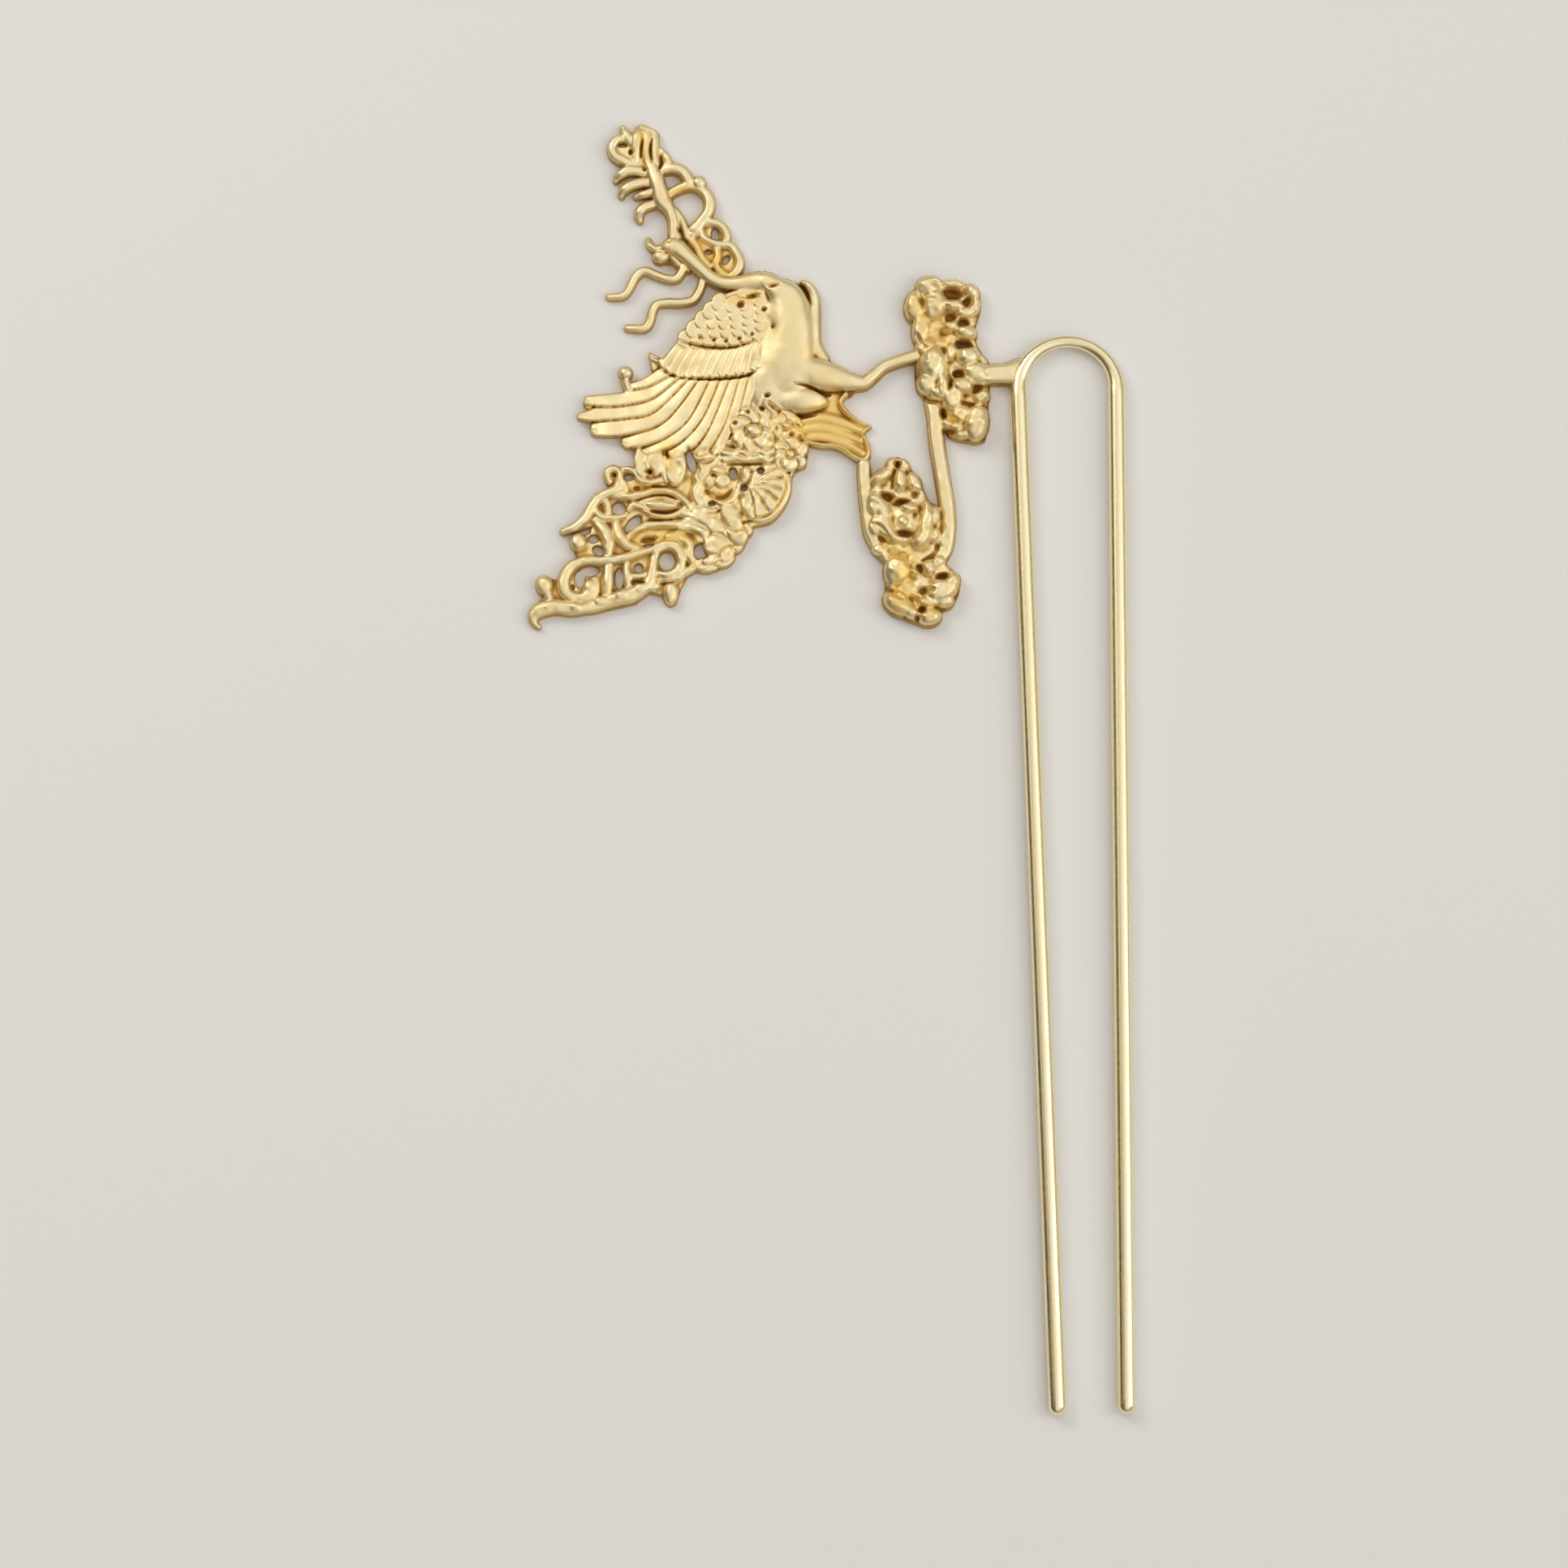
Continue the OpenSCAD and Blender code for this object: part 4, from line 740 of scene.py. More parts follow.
def sculptWing(relief):
    relief.sheet(wing["outline"], top=1.2, smooth=False)
    least, more, over = wing["featherSink"]
    for i, feather in enumerate(wing["feathers"]):
        relief.strokes([feather], widen=1.06, fullness=6, shoulder=0.88, lean=-0.17, groove=0.18,
                       sink=least + more * min(i / over, 1))
    relief.creases([wing["covertShade"]])
    relief.sheet(wing["coverts"], top=2, bevel=0.15)
    lowerEdge, middleEdge = smoothRows(wing["lowerEdge"]), smoothRows(wing["middleEdge"])
    count, (tipShift, rootShift) = wing["covertCount"], wing["covertShift"]
    for i in range(count):
        tip = lowerEdge[int((i + tipShift) / count * (len(lowerEdge) - 1))]
        root = middleEdge[int(min((i + rootShift) / count, 1) * (len(middleEdge) - 1))]
        covert = [[*place, *row] for place, row in zip((tip, (tip + root) / 2, root),
                                                       wing["covertRows"])]
        relief.strokes([covert], fullness=3.5, shoulder=0.88, lean=-0.06, groove=0.16, sink=0.22)
    turn, turnLess = wing["scaleTurn"]
    for start, end, count, top, sink in wing["scaleRows"]:
        for i in range(count):
            share = i / (count - 1)
            x, y = np.array(start) + (np.array(end) - start) * share
            y -= wing["scaleSag"] * math.sin(math.pi * share)
            scale = [x, y + wing["scaleRise"], *wing["scaleSize"], turn - turnLess * share, top]
            relief.petals([scale], fullness=6, shoulder=0.96, lean=-0.08, groove=0.15, sink=sink)
    relief.creases([wing["scaleShade"]])
    relief.strokes([wing["hook"], wing["spur"]])
    relief.petals([wing["knob"]])
    relief.detail(wing)


body = {
    "under": [
        [-6, 60.2], [-3, 60.2], [-1.7, 59], [-1.2, 56], [-1.1, 53], [-0.4, 51], [3, 49], [3, 46.2],
        [-1, 45.4], [-4, 45], [-7.4, 46], [-7.6, 52],
    ],
    "trunk": [
        [-7.8, 60.6, 2, 2.2], [-6.4, 59.6, 3.4, 2.6], [-5.2, 58.2, 5, 2.9], [-4.7, 56, 5.7, 3],
        [-4.6, 53.6, 6, 3], [-5, 51, 7, 2.9], [-5.6, 48.6, 8, 2.6], [-6.4, 46.8, 6.6, 2.1],
    ],
    "neckFold": [[-7.9, 59.4, 0.3, 0.2], [-7.5, 58.4, 0.4, 0.4], [-7.3, 57.2, 0.3, 0.1]],
    "worn": [[-7.8, 48, 3.4, 6, 0], [-7.2, 53, 3, 6, 0], [-7, 56.8, 2.6, 3, 0]],
    "leg": [
        [-4.4, 50.4, 2.6, 2.2], [-2, 49, 4, 2.6], [0.4, 48.4, 3.6, 2.5], [2.6, 47.9, 2.5, 2.3],
        [4.4, 47.7, 1.8, 2], [5.6, 48.6, 1.6, 1.9], [6.8, 49.7, 1.5, 1.8], [8.4, 50.4, 1.5, 1.8],
        [10, 50.9, 1.6, 1.8], [11, 51.2, 1.7, 1.8],
    ],
    "thigh": [
        [-6.8, 46, 1.6, 1.8], [-5.2, 45.6, 3, 2.2], [-3.4, 45.5, 3.4, 2.4], [-1.8, 45.4, 2.6, 2.3],
        [-0.7, 45.3, 1.4, 1.9],
    ],
    "spur": [
        [-3.2, 60.6, 0.7, 1.4], [-2.4, 60.1, 1.1, 1.9], [-1.8, 58.8, 1.4, 1.9], [-1.9, 57, 2, 2],
        [-2, 55, 2.2, 2], [-1.8, 52.6, 2.1, 1.9], [-0.5, 50.7, 1.5, 1.7],
    ],
    "kneeWorn": [-4.4, 48.2, 4.6, 3, 0],
    "creases": [
        [[-7.4, 45, 0.5, 0.4], [-6.2, 44.1, 0.6, 0.6], [-5, 43.6, 0.7, 0.7], [-3.3, 43.4, 0.6, 0.6],
         [-1.6, 43.6, 0.4, 0.3]],
        [[-7.6, 59.7, 0.3, 0.2], [-6.9, 59.8, 0.5, 0.6], [-6.1, 60, 0.3, 0.2]],
        [[-3.8, 60.3, 0.4, 0.4], [-3, 59.6, 0.5, 0.7], [-2.4, 58.4, 0.4, 0.5], [-2, 57, 0.3, 0.1]],
        [[-4.4, 47.4, 0.25, 0.2], [-3, 47.3, 0.4, 0.6], [-1.8, 46.9, 0.4, 0.6],
         [-0.8, 46.3, 0.4, 0.5], [0.2, 46.2, 0.4, 0.3]],
    ],
    "pits": [[-8, 56.9, 0.8, 0.7, 0, 0.6], [-6.9, 54.7, 0.6, 0.8, 0, 0.5]],
}


def sculptBody(relief):
    relief.sheet(body["under"], top=0.9)
    relief.strokes([body["trunk"]], fullness=3, shoulder=0.25, soft=1.1)
    relief.creases([body["neckFold"]])
    relief.wear(body["worn"])
    relief.strokes([body["leg"]], fullness=2.4, soft=0.5)
    relief.strokes([body["thigh"]], fullness=2.4, shoulder=0.5, soft=0.15)
    relief.strokes([body["spur"]], fullness=2.6, soft=0.5)
    relief.wear([body["kneeWorn"]])
    relief.detail(body)


leaf = {
    "outline": [
        [-3.6, 44.6], [-1.6, 45], [-0.6, 45.4], [-0.4, 46.2], [1.2, 46.8], [3, 46.6], [1.7, 45.4],
        [2.3, 44.1], [3.4, 43], [5.5, 42.3], [4.7, 41.6], [4.5, 41], [5.2, 39.9], [5.3, 38.3],
        [4.9, 37.5], [3.9, 37.6], [2.6, 38.3], [1, 39.3], [-1.4, 39.5], [-3, 40.1], [-3.9, 41.4],
    ],
    "ribs": [
        [[-3.2, 42.8, 1, 1.4], [-0.6, 43.2, 1.4, 1.6], [1.6, 42.6, 1.4, 1.6],
         [3.9, 41.8, 0.8, 1.4]],
        [[-3.3, 41.8, 1, 1.3], [-0.6, 41.9, 1.3, 1.5], [1.8, 41.2, 1.3, 1.5], [4, 40.4, 0.8, 1.4]],
        [[-2.9, 40.8, 0.8, 1.3], [-0.5, 40.8, 1, 1.4], [1.8, 40.2, 1.1, 1.4],
         [4.2, 38.8, 0.8, 1.4]],
    ],
    "rims": [
        [[-3.6, 42, 0.7, 1.6], [-2.8, 40.4, 0.7, 1.7], [-1.2, 39.8, 0.7, 1.8],
         [1.2, 39.6, 0.7, 1.8], [2.9, 38.5, 0.7, 1.7], [4.4, 37.9, 0.7, 1.6], [5, 39, 0.6, 1.6],
         [4.4, 40.9, 0.6, 1.6]],
        [[5.2, 42.3, 0.4, 1.2], [4, 42.6, 0.6, 1.6], [2.4, 43.8, 0.7, 1.8], [1.5, 45.2, 0.7, 1.8],
         [2.2, 46.3, 0.6, 1.8]],
    ],
    # Deeper gold over the whole leaf and up its stem
    "warm": [[1, [[-3, 41.8, 5], [1, 42, 7], [3.6, 40, 5]]], [1, [[1.2, 46.4, 2], [1, 44, 3]]]],
}


def sculptLeaf(relief):
    relief.sheet(leaf["outline"], top=1)
    relief.strokes(leaf["ribs"], widen=1.15, shoulder=0.6, soft=0.4)
    relief.strokes(leaf["rims"], soft=0.1)
    relief.detail(leaf)


tail = {
    "outline": [
        [-24.2, 40], [-24.2, 37], [-26.3, 37.1], [-27.4, 36.5], [-27, 34.4], [-28.4, 34],
        [-29.6, 32.8], [-30.6, 30.8], [-31.8, 29.4], [-33.1, 29], [-33, 28.6], [-31.2, 28.8],
        [-29.4, 29.5], [-29.6, 28.7], [-31.9, 28], [-31.8, 27], [-31.2, 25.6], [-32.6, 24.4],
        [-33.3, 22.8], [-34.2, 23], [-35.6, 22.6], [-35.2, 20.8], [-36.4, 19.6], [-37, 18.4],
        [-36.7, 17.8], [-35.8, 18.6], [-33.8, 18.8], [-32.4, 18.4], [-29.2, 18.5], [-27.2, 19],
        [-23.8, 19.8], [-22.3, 21.1], [-20.7, 20.9], [-20.2, 19.8], [-19.5, 19.4], [-18.8, 19.8],
        [-18.2, 21.8], [-17.4, 23.2], [-16.2, 23.9], [-13.8, 23.9], [-12.3, 25.1], [-11, 26.8],
        [-9.8, 28.6], [-9.6, 29.5], [-7.4, 29.8], [-5.9, 31.2], [-4.9, 33.4], [-4.5, 36.2],
        [-3.2, 36.9], [-2.5, 38.4], [-3, 39.8], [-4, 41.4], [-4.4, 43.4], [-7, 45], [-12, 45],
        [-16, 41],
    ],
    "scrolls": [
        [[-27.2, 35.2, 0.9, 1.4], [-27.5, 36.2, 0.9, 1.5], [-26.7, 36.8, 1, 1.6],
         [-25.9, 36.3, 0.9, 1.6], [-25.9, 35.2, 1, 1.7], [-26.3, 34.2, 1.2, 1.7],
         [-27.4, 33.7, 1.2, 1.7], [-28.6, 33, 1.2, 1.7], [-29.4, 31.8, 1.2, 1.7],
         [-30.2, 30.5, 1.2, 1.7], [-31.3, 29.5, 1.1, 1.6], [-32.9, 28.9, 0.8, 1.2]],
        [[-25.6, 36.8, 0.7, 1.3], [-24.6, 36.7, 0.8, 1.5], [-23.8, 36.1, 0.9, 1.5],
         [-23.3, 35.4, 0.9, 1.5], [-22.2, 35.1, 0.9, 1.5], [-20.8, 35.4, 0.8, 1.4]],
        [[-25.4, 35, 0.9, 1.4], [-25.2, 34.2, 1, 1.5], [-25.6, 33.2, 0.9, 1.4]],
        [[-18, 26.4, 1, 1.5], [-19.3, 27.3, 1, 1.6], [-21.2, 27, 1, 1.6], [-22.8, 26.4, 1.1, 1.6],
         [-25, 25.6, 1.1, 1.7], [-27.6, 25.2, 1.1, 1.7], [-30, 25.2, 1.1, 1.7],
         [-31.6, 24.6, 1.3, 1.7], [-32.6, 23.3, 1.4, 1.7], [-32.8, 21.9, 1.5, 1.7],
         [-32, 20.7, 1.4, 1.6], [-30.4, 20.5, 1.3, 1.6], [-29.3, 21.3, 1.9, 1.6],
         [-28.9, 22.8, 1, 1.3]],
        [[-35.8, 16.9, 0.6, 1], [-36.3, 17.3, 0.8, 1.1], [-36.5, 18, 1.2, 1.3],
         [-36.1, 18.7, 1.6, 1.5], [-35, 19.2, 1.8, 1.6], [-33.6, 19.4, 1.7, 1.7],
         [-31.8, 19.1, 1.6, 1.7], [-30, 19.2, 1.3, 1.6], [-28.2, 19.7, 1.5, 1.6],
         [-26.2, 20.4, 1.7, 1.7], [-24.4, 20.9, 1.9, 1.8], [-23, 21.6, 1.6, 1.8],
         [-22.1, 22.6, 1.4, 1.7], [-21.8, 24, 1.2, 1.7], [-21.6, 25.4, 1.1, 1.5]],
        [[-21.6, 25, 1, 1.4], [-21.2, 26.4, 1, 1.6], [-19.8, 27, 1, 1.6], [-18.5, 26.4, 1.2, 1.7],
         [-18.2, 25, 1.2, 1.7], [-18.8, 23.8, 1.2, 1.7], [-20, 23.4, 1, 1.6],
         [-21.2, 23.6, 0.8, 1.4]],
        [[-27.2, 25, 1, 1.4], [-27.3, 22.8, 1.4, 1.7], [-27.5, 20.6, 1.2, 1.4]],
        [[-25, 25, 0.8, 1.3], [-24.9, 23, 1.1, 1.6], [-24.6, 21.4, 1, 1.4]],
        [[-25, 23.3, 0.7, 1.3], [-23.6, 23.2, 0.8, 1.5], [-22.2, 23.6, 0.7, 1.3]],
        [[-25, 27.9, 0.7, 1.3], [-24, 28.9, 0.9, 1.6], [-22.6, 29.6, 1, 1.7], [-20.6, 29.8, 1, 1.7],
         [-18.6, 29.8, 1, 1.6], [-17, 30.4, 0.9, 1.5]],
        [[-26.6, 33.4, 0.8, 1.4], [-25, 33.3, 1, 1.6], [-23.4, 33.5, 1, 1.7], [-21.4, 34, 0.9, 1.7],
         [-19.4, 33.8, 0.9, 1.7], [-17.9, 32.8, 0.9, 1.6], [-17, 31.6, 0.9, 1.5]],
        [[-24.8, 31.5, 0.7, 1.4], [-24.2, 32.2, 1, 1.6], [-23, 31.9, 0.8, 1.6],
         [-21.8, 31, 0.7, 1.6], [-20.2, 30.75, 0.7, 1.6], [-18.6, 31.2, 0.7, 1.5],
         [-17.6, 32, 0.7, 1.4]],
        [[-23.4, 32.5, 0.6, 1.5], [-22, 33.1, 0.6, 1.6], [-20.4, 33.2, 0.6, 1.6],
         [-18.8, 32.6, 0.6, 1.5]],
        [[-29, 31.8, 0.9, 1.4], [-28.2, 30.8, 1, 1.5], [-26.8, 30.5, 1, 1.6],
         [-25.4, 30.9, 0.9, 1.5]],
        [[-28.8, 30.2, 1.1, 1.4], [-27.8, 29, 1.5, 1.7], [-27.2, 27.4, 1.4, 1.7],
         [-27.4, 25.6, 1.1, 1.5]],
        [[-26.4, 29.9, 1.1, 1.4], [-25.9, 28.4, 1.4, 1.7], [-25, 27.2, 1.2, 1.6],
         [-23.6, 26.8, 0.9, 1.5]],
        [[-28.2, 33.2, 0.9, 1.4], [-27.4, 32.2, 1, 1.5], [-27.2, 31, 0.9, 1.4]],
        [[-19.8, 28.2, 1.2, 1.3], [-18.4, 28.2, 1.4, 1.4], [-17.2, 27.2, 1.2, 1.6],
         [-17.1, 25.8, 1.2, 1.7], [-16.4, 24.7, 1.1, 1.6], [-15, 24.6, 1.1, 1.6]],
        [[-34.4, 20.2, 0.9, 1.4], [-34.7, 21, 1, 1.5]],
        [[-21, 22.8, 0.7, 1.3], [-19.8, 22.7, 0.9, 1.5], [-18.8, 22.9, 1, 1.6], [-18, 23.6, 1, 1.6],
         [-16.8, 24.3, 0.9, 1.5]],
    ],
    "rootPetals": [  # the last number is the cup
        [-20.2, 36.8, 3.6, 1.5, 95, 1.5, 0], [-23.1, 37.7, 4.4, 2.1, 92, 1.75, 0.35],
        [-21.4, 38, 4.2, 1.9, 92, 1.65, 0], [-18.9, 37, 4.8, 2.7, 86, 1.7, 0.25],
    ],
    "knobs": [
        [-35.2, 22.1, 2.2, 2.6, 0, 1.9], [-31, 27.5, 2.2, 2.3, 0, 1.9],
        [-20.9, 32.2, 4.3, 1.4, -2, 1.9], [-19.5, 21.2, 1.9, 3.3, 0, 1.8],
        [-21.6, 22, 1.8, 1.6, 30, 1.6], [-25.6, 27.6, 1.6, 1.2, -50, 1.6],
        [-29.5, 21.8, 2, 2.3, 0, 1.7], [-34.5, 19.4, 2, 1.5, 15, 1.8],
        [-31.3, 19.3, 2.4, 1.7, 5, 1.85], [-28.1, 20, 2.2, 1.6, 15, 1.85],
        [-25.5, 20.8, 2.4, 1.8, 20, 1.95], [-23.3, 21.6, 2, 1.8, 30, 1.95],
    ],
    "creases": [
        [[-23.4, 32.9, 0.3, 0.3], [-21.6, 33.4, 0.4, 0.5], [-20, 33.4, 0.4, 0.5],
         [-18.5, 32.9, 0.3, 0.3]],
        [[-22.8, 31.6, 0.3, 0.3], [-21.4, 31.3, 0.4, 0.5], [-19.8, 31.25, 0.4, 0.5],
         [-18.6, 31.7, 0.3, 0.2]],
        [[-22.4, 30.3, 0.3, 0.2], [-21, 30.25, 0.4, 0.5], [-19.4, 30.3, 0.3, 0.4]],
        [[-20.5, 22.3, 0.3, 0.3], [-19.6, 22.4, 0.5, 0.5], [-18.6, 22.6, 0.3, 0.3]],
        [[-21.9, 34.6, 0.3, 0.3], [-20.8, 34.5, 0.4, 0.5], [-19.9, 34.6, 0.3, 0.3]],
    ],
    "pits": [
        [-22.3, 36.5, 1.5, 0.7, 0, 0.8], [-26.5, 36.1, 0.5, 0.7, 0, 0.5],
        [-16.9, 31.3, 0.7, 0.9, 20, 0.7], [-23.8, 34.4, 1.2, 0.7, 0, 0.5],
        [-19.8, 38.7, 0.9, 1.6, 0, 0.6], [-22.3, 27.9, 2.7, 1, 10, 0.8],
        [-31.6, 21.9, 0.7, 1, 0, 0.4],
    ],
    "holes": [
        [-20, 25.2, 2, 2.3, 0], [-15.8, 26.4, 1.7, 2, -10], [-26, 31.8, 1.6, 1.7, 0],
        [-24.2, 29.9, 2.6, 1.3, 45], [-29.1, 28, 1.2, 1, 0], [-28.5, 26.5, 1.5, 1.1, -30],
        [-25.9, 23, 1, 2.7, 0], [-17, 37.8, 1, 3.3, 14], [-24.7, 35.8, 1.2, 0.8, 0],
        [-30.8, 22.9, 1.3, 2.2, 0], [-29.6, 23.9, 2.5, 1.3, 5], [-23.5, 24.3, 1.1, 1.1, 0],
        [-22.3, 27.1, 1.3, 0.6, 10], [-23.6, 22.4, 1.5, 0.5, 0],
    ],
    # Painted shade in the deep hollows
    "warm": [
        [1, [[-23.8, 28, 2], [-21, 28.4, 2.4], [-18.4, 28.4, 2.2], [-16.4, 28.2, 1.6]]],
        [0.8, [[-24, 34.4, 2], [-20.4, 34.5, 1.2]]],
        [0.9, [[-20, 39.4, 2.6], [-19.7, 38, 1.5], [-19.4, 36.6, 1]]],
    ],
}


def sculptTail(relief):
    relief.sheet(tail["outline"], top=0.95, smooth=False, knobs=0.6)
    relief.strokes(tail["scrolls"], widen=1.15, fullness=2.5, shoulder=0.5, soft=0.1)
    for *petal, cup in tail["rootPetals"]:
        relief.petals([petal], cup=cup, fullness=3, shoulder=0.72, groove=0.12, sink=0.2)
    relief.petals(tail["knobs"])
    relief.detail(tail)


fan = {
    "bed": [
        [-16.4, 39.6], [-12.4, 40.8], [-6.6, 44.6], [-4, 43], [-3.2, 39.6], [-3.4, 37.4],
        [-4.9, 36.6], [-5, 33.6], [-6.4, 31.2], [-9.2, 30], [-11.2, 28], [-13, 25.6], [-15.4, 24.8],
        [-16.8, 28.6], [-17.2, 31.6], [-16.2, 34.6], [-16, 36.6],
    ],
    "petals": [
        [-15, 24.7, 3, 1.8, 10, 1.5], [-12.9, 25.5, 2.8, 1.9, 35, 1.5],
        [-11.5, 27.3, 2.6, 1.9, 55, 1.5], [-10.3, 29, 2, 1.6, 50, 1.5],
        [-14.6, 30.6, 4.6, 2, -28, 1.7], [-13.2, 28.9, 4.6, 2, -42, 1.8],
        [-11.3, 28.6, 3, 2.2, -60, 1.9], [-13.9, 27, 2.9, 2.7, -50, 1.9],
        [-12, 30.6, 3.6, 2, -58, 1.8], [-12.6, 25.9, 2.2, 1.4, 50, 1.6],
        [-14.6, 25.2, 2.2, 1.1, 18, 1.7],
    ],
    "leaf": [-7.75, 33.7, 7.9, 5.9, 62, 2.05],
    "ribRoot": [-10, 34.9],
    "ribRows": [[0.2, 0.1], [0.35, 0.3], [0.4, 0.38]],  # width, depth from root to tip
    "ribStart": 0.25,  # of the way from the root to the tip
    "ribBend": [0.1, 0.15],
    "ribTips": [[-6.2, 37], [-5.6, 35.6], [-5.8, 34.1], [-6.4, 32.7], [-7.6, 31.4], [-9.2, 30.7]],
    "rim": [
        [-3.9, 37.2, 0.5, 1.2], [-4.7, 35.8, 0.6, 1.4], [-4.9, 33.8, 0.6, 1.4],
        [-5.8, 31.8, 0.6, 1.4], [-7.2, 30.3, 0.6, 1.4], [-9, 29.8, 0.6, 1.4],
        [-10.2, 29.6, 0.5, 1.2],
    ],
    "rimFold": [
        [-4.9, 37, 0.4, 0.3], [-5.3, 35.4, 0.4, 0.4], [-5.4, 33.8, 0.4, 0.4],
        [-6.2, 32.1, 0.4, 0.5], [-7.4, 30.9, 0.4, 0.5], [-9, 30.4, 0.4, 0.5], [-10.6, 30, 0.4, 0.3],
    ],
    "bud": [-10.3, 36, 2.6, 1.5, 82, 1.9],
    "smallPetals": [
        [-14.7, 35.2, 2.2, 1.5, 70, 1.8], [-13.7, 36.5, 2.2, 1.4, -10, 1.8],
        [-13.1, 35.2, 2.3, 2, 20, 2],
    ],
    "knob": [-15.4, 38.6, 3.1, 2.2, 8, 1.9],
    "curls": [
        [[-13.4, 38.9, 1, 1.7], [-12.2, 38.7, 1.4, 1.9], [-11, 39, 1, 1.8], [-9.9, 38.7, 1.4, 1.9],
         [-8.8, 39, 1, 1.8], [-7.8, 38.7, 1.3, 1.9], [-6.8, 39, 1, 1.7]],
        [[-13, 37.9, 0.9, 1.7], [-11.4, 38.1, 1.2, 1.8], [-10.2, 37.8, 1, 1.8],
         [-8.8, 38.1, 1.2, 1.8], [-7.4, 37.9, 1, 1.7], [-6.4, 38.2, 0.9, 1.7]],
        [[-16.6, 36.6, 1, 1.5], [-16.2, 35, 1.2, 1.7], [-16.6, 33.6, 1.2, 1.7],
         [-16, 32.4, 1.1, 1.6]],
        [[-15.6, 33.2, 0.9, 1.5], [-14.6, 33.4, 0.9, 1.6], [-13.4, 32.4, 1, 1.7],
         [-12.2, 32.6, 1, 1.7], [-11.4, 33.6, 1, 1.7], [-11.2, 34.8, 0.9, 1.6]],
        [[-18, 31.2, 1.4, 1.5], [-16.6, 30.8, 1.6, 1.6], [-15.2, 30.2, 1.6, 1.7],
         [-13.8, 29, 1.5, 1.7]],
        [[-18.4, 29.4, 1.4, 1.5], [-16.8, 29.3, 1.5, 1.6], [-15.6, 28.7, 1.5, 1.7],
         [-14.9, 27.6, 1.2, 1.6]],
    ],
    "creases": [
        [[-12.6, 39.7, 0.4, 0.3], [-10.6, 39.6, 0.5, 0.5], [-7.6, 39.5, 0.4, 0.4]],
        [[-12.6, 37.3, 0.4, 0.3], [-11, 37.4, 0.5, 0.5], [-8.4, 37.4, 0.4, 0.4]],
        [[-15.2, 31, 0.3, 0.3], [-14.4, 31.1, 0.4, 0.5], [-13.4, 31.5, 0.3, 0.3]],
        [[-15.2, 34, 0.5, 0.4], [-14, 33.2, 0.8, 0.6], [-12.8, 33.3, 0.8, 0.6],
         [-12.1, 34, 0.5, 0.4]],
    ],
    "pits": [[-14.3, 36, 0.7, 0.6, 0, 0.6], [-9.4, 32.2, 0.5, 0.8, 20, 0.2]],
    "holes": [
        [-14.4, 32.4, 0.9, 0.6, 0], [-11.8, 36.2, 1, 1.6, 15], [-8.4, 36.5, 0.9, 0.9, 0],
        [-10.4, 34.3, 0.8, 0.9, 0],
    ],
    # Painted shade along the crease
    "warm": [[1, [[-15, 34, 1], [-14, 33.2, 1.4], [-12.8, 33.3, 1.4], [-12.1, 34.2, 1]]]],
}


# Fan of broad petals at the root of the tail, with curls beside it
def sculptFan(relief):
    relief.sheet(fan["bed"], top=1.4, bevel=0.4, knobs=1, spread=False)
    relief.petals(fan["petals"], longer=1.1, wider=1.2, fullness=3, shoulder=0.7, groove=0.15,
                  sink=0.2)
    relief.petals([fan["leaf"]], fullness=4, shoulder=0.74, groove=0.15, sink=0.25)
    root = fan["ribRoot"]
    for tip in fan["ribTips"]:
        start = np.array(root) + (np.array(tip) - root) * fan["ribStart"]
        bend = (start + tip) / 2 + fan["ribBend"]
        relief.creases([[[*place, *row] for place, row in zip((start, bend, tip), fan["ribRows"])]])
    relief.strokes([fan["rim"]])
    relief.creases([fan["rimFold"]])
    relief.petals([fan["bud"]], groove=0.2)
    relief.petals(fan["smallPetals"], fullness=3, groove=0.12, sink=0.2)
    relief.petals([fan["knob"]], groove=0.2)
    relief.strokes(fan["curls"], soft=0.06)
    relief.detail(fan)


smallBlossoms = {
    "round": [  # x, y, radius, petals, turn, top
        [-9.3, 41.6, 2.7, 7, 10, 2], [-5.2, 42.2, 1.8, 5, 15, 1.9],
    ],
    "petal": (0.6, 1.1, 7, 0.95),  # way out, length and width in radii, and share of the top
    "heart": (0.85, 0.7, 0.15),  # length and width in radii, and rise over the petals
    "edgePetals": [  # x, y, turn
        [-3.7, 37.8, -40], [-3.4, 39.2, 50], [-4.6, 40, 0], [-5.8, 39.3, -50], [-5.9, 38, 70],
        [-4.9, 37.3, 10],
    ],
    "edgeSize": (2.3, 1.9),
    "edgeTop": 1.95,
    "edgeHeart": [-4.7, 38.6, 1.4, 1.2, 30, 1.8],
    "pits": [
        [-11.6, 42.6, 0.9, 0.7, -20, 0.6], [-10, 44, 1, 0.7, -40, 0.6],
        [-8.2, 44.4, 0.7, 0.9, 0, 0.6], [-7.6, 46, 0.9, 0.7, 0, 0.7], [-6.4, 41.9, 0.6, 1, 0, 0.6],
        [-4.6, 41.1, 0.9, 0.6, -30, 0.6], [-7.2, 40.6, 0.7, 0.5, 30, 0.4],
    ],
    "holes": [[-17, 37.75, 0.9, 3.1, 13]],  # cut again between the feathers' tips
}


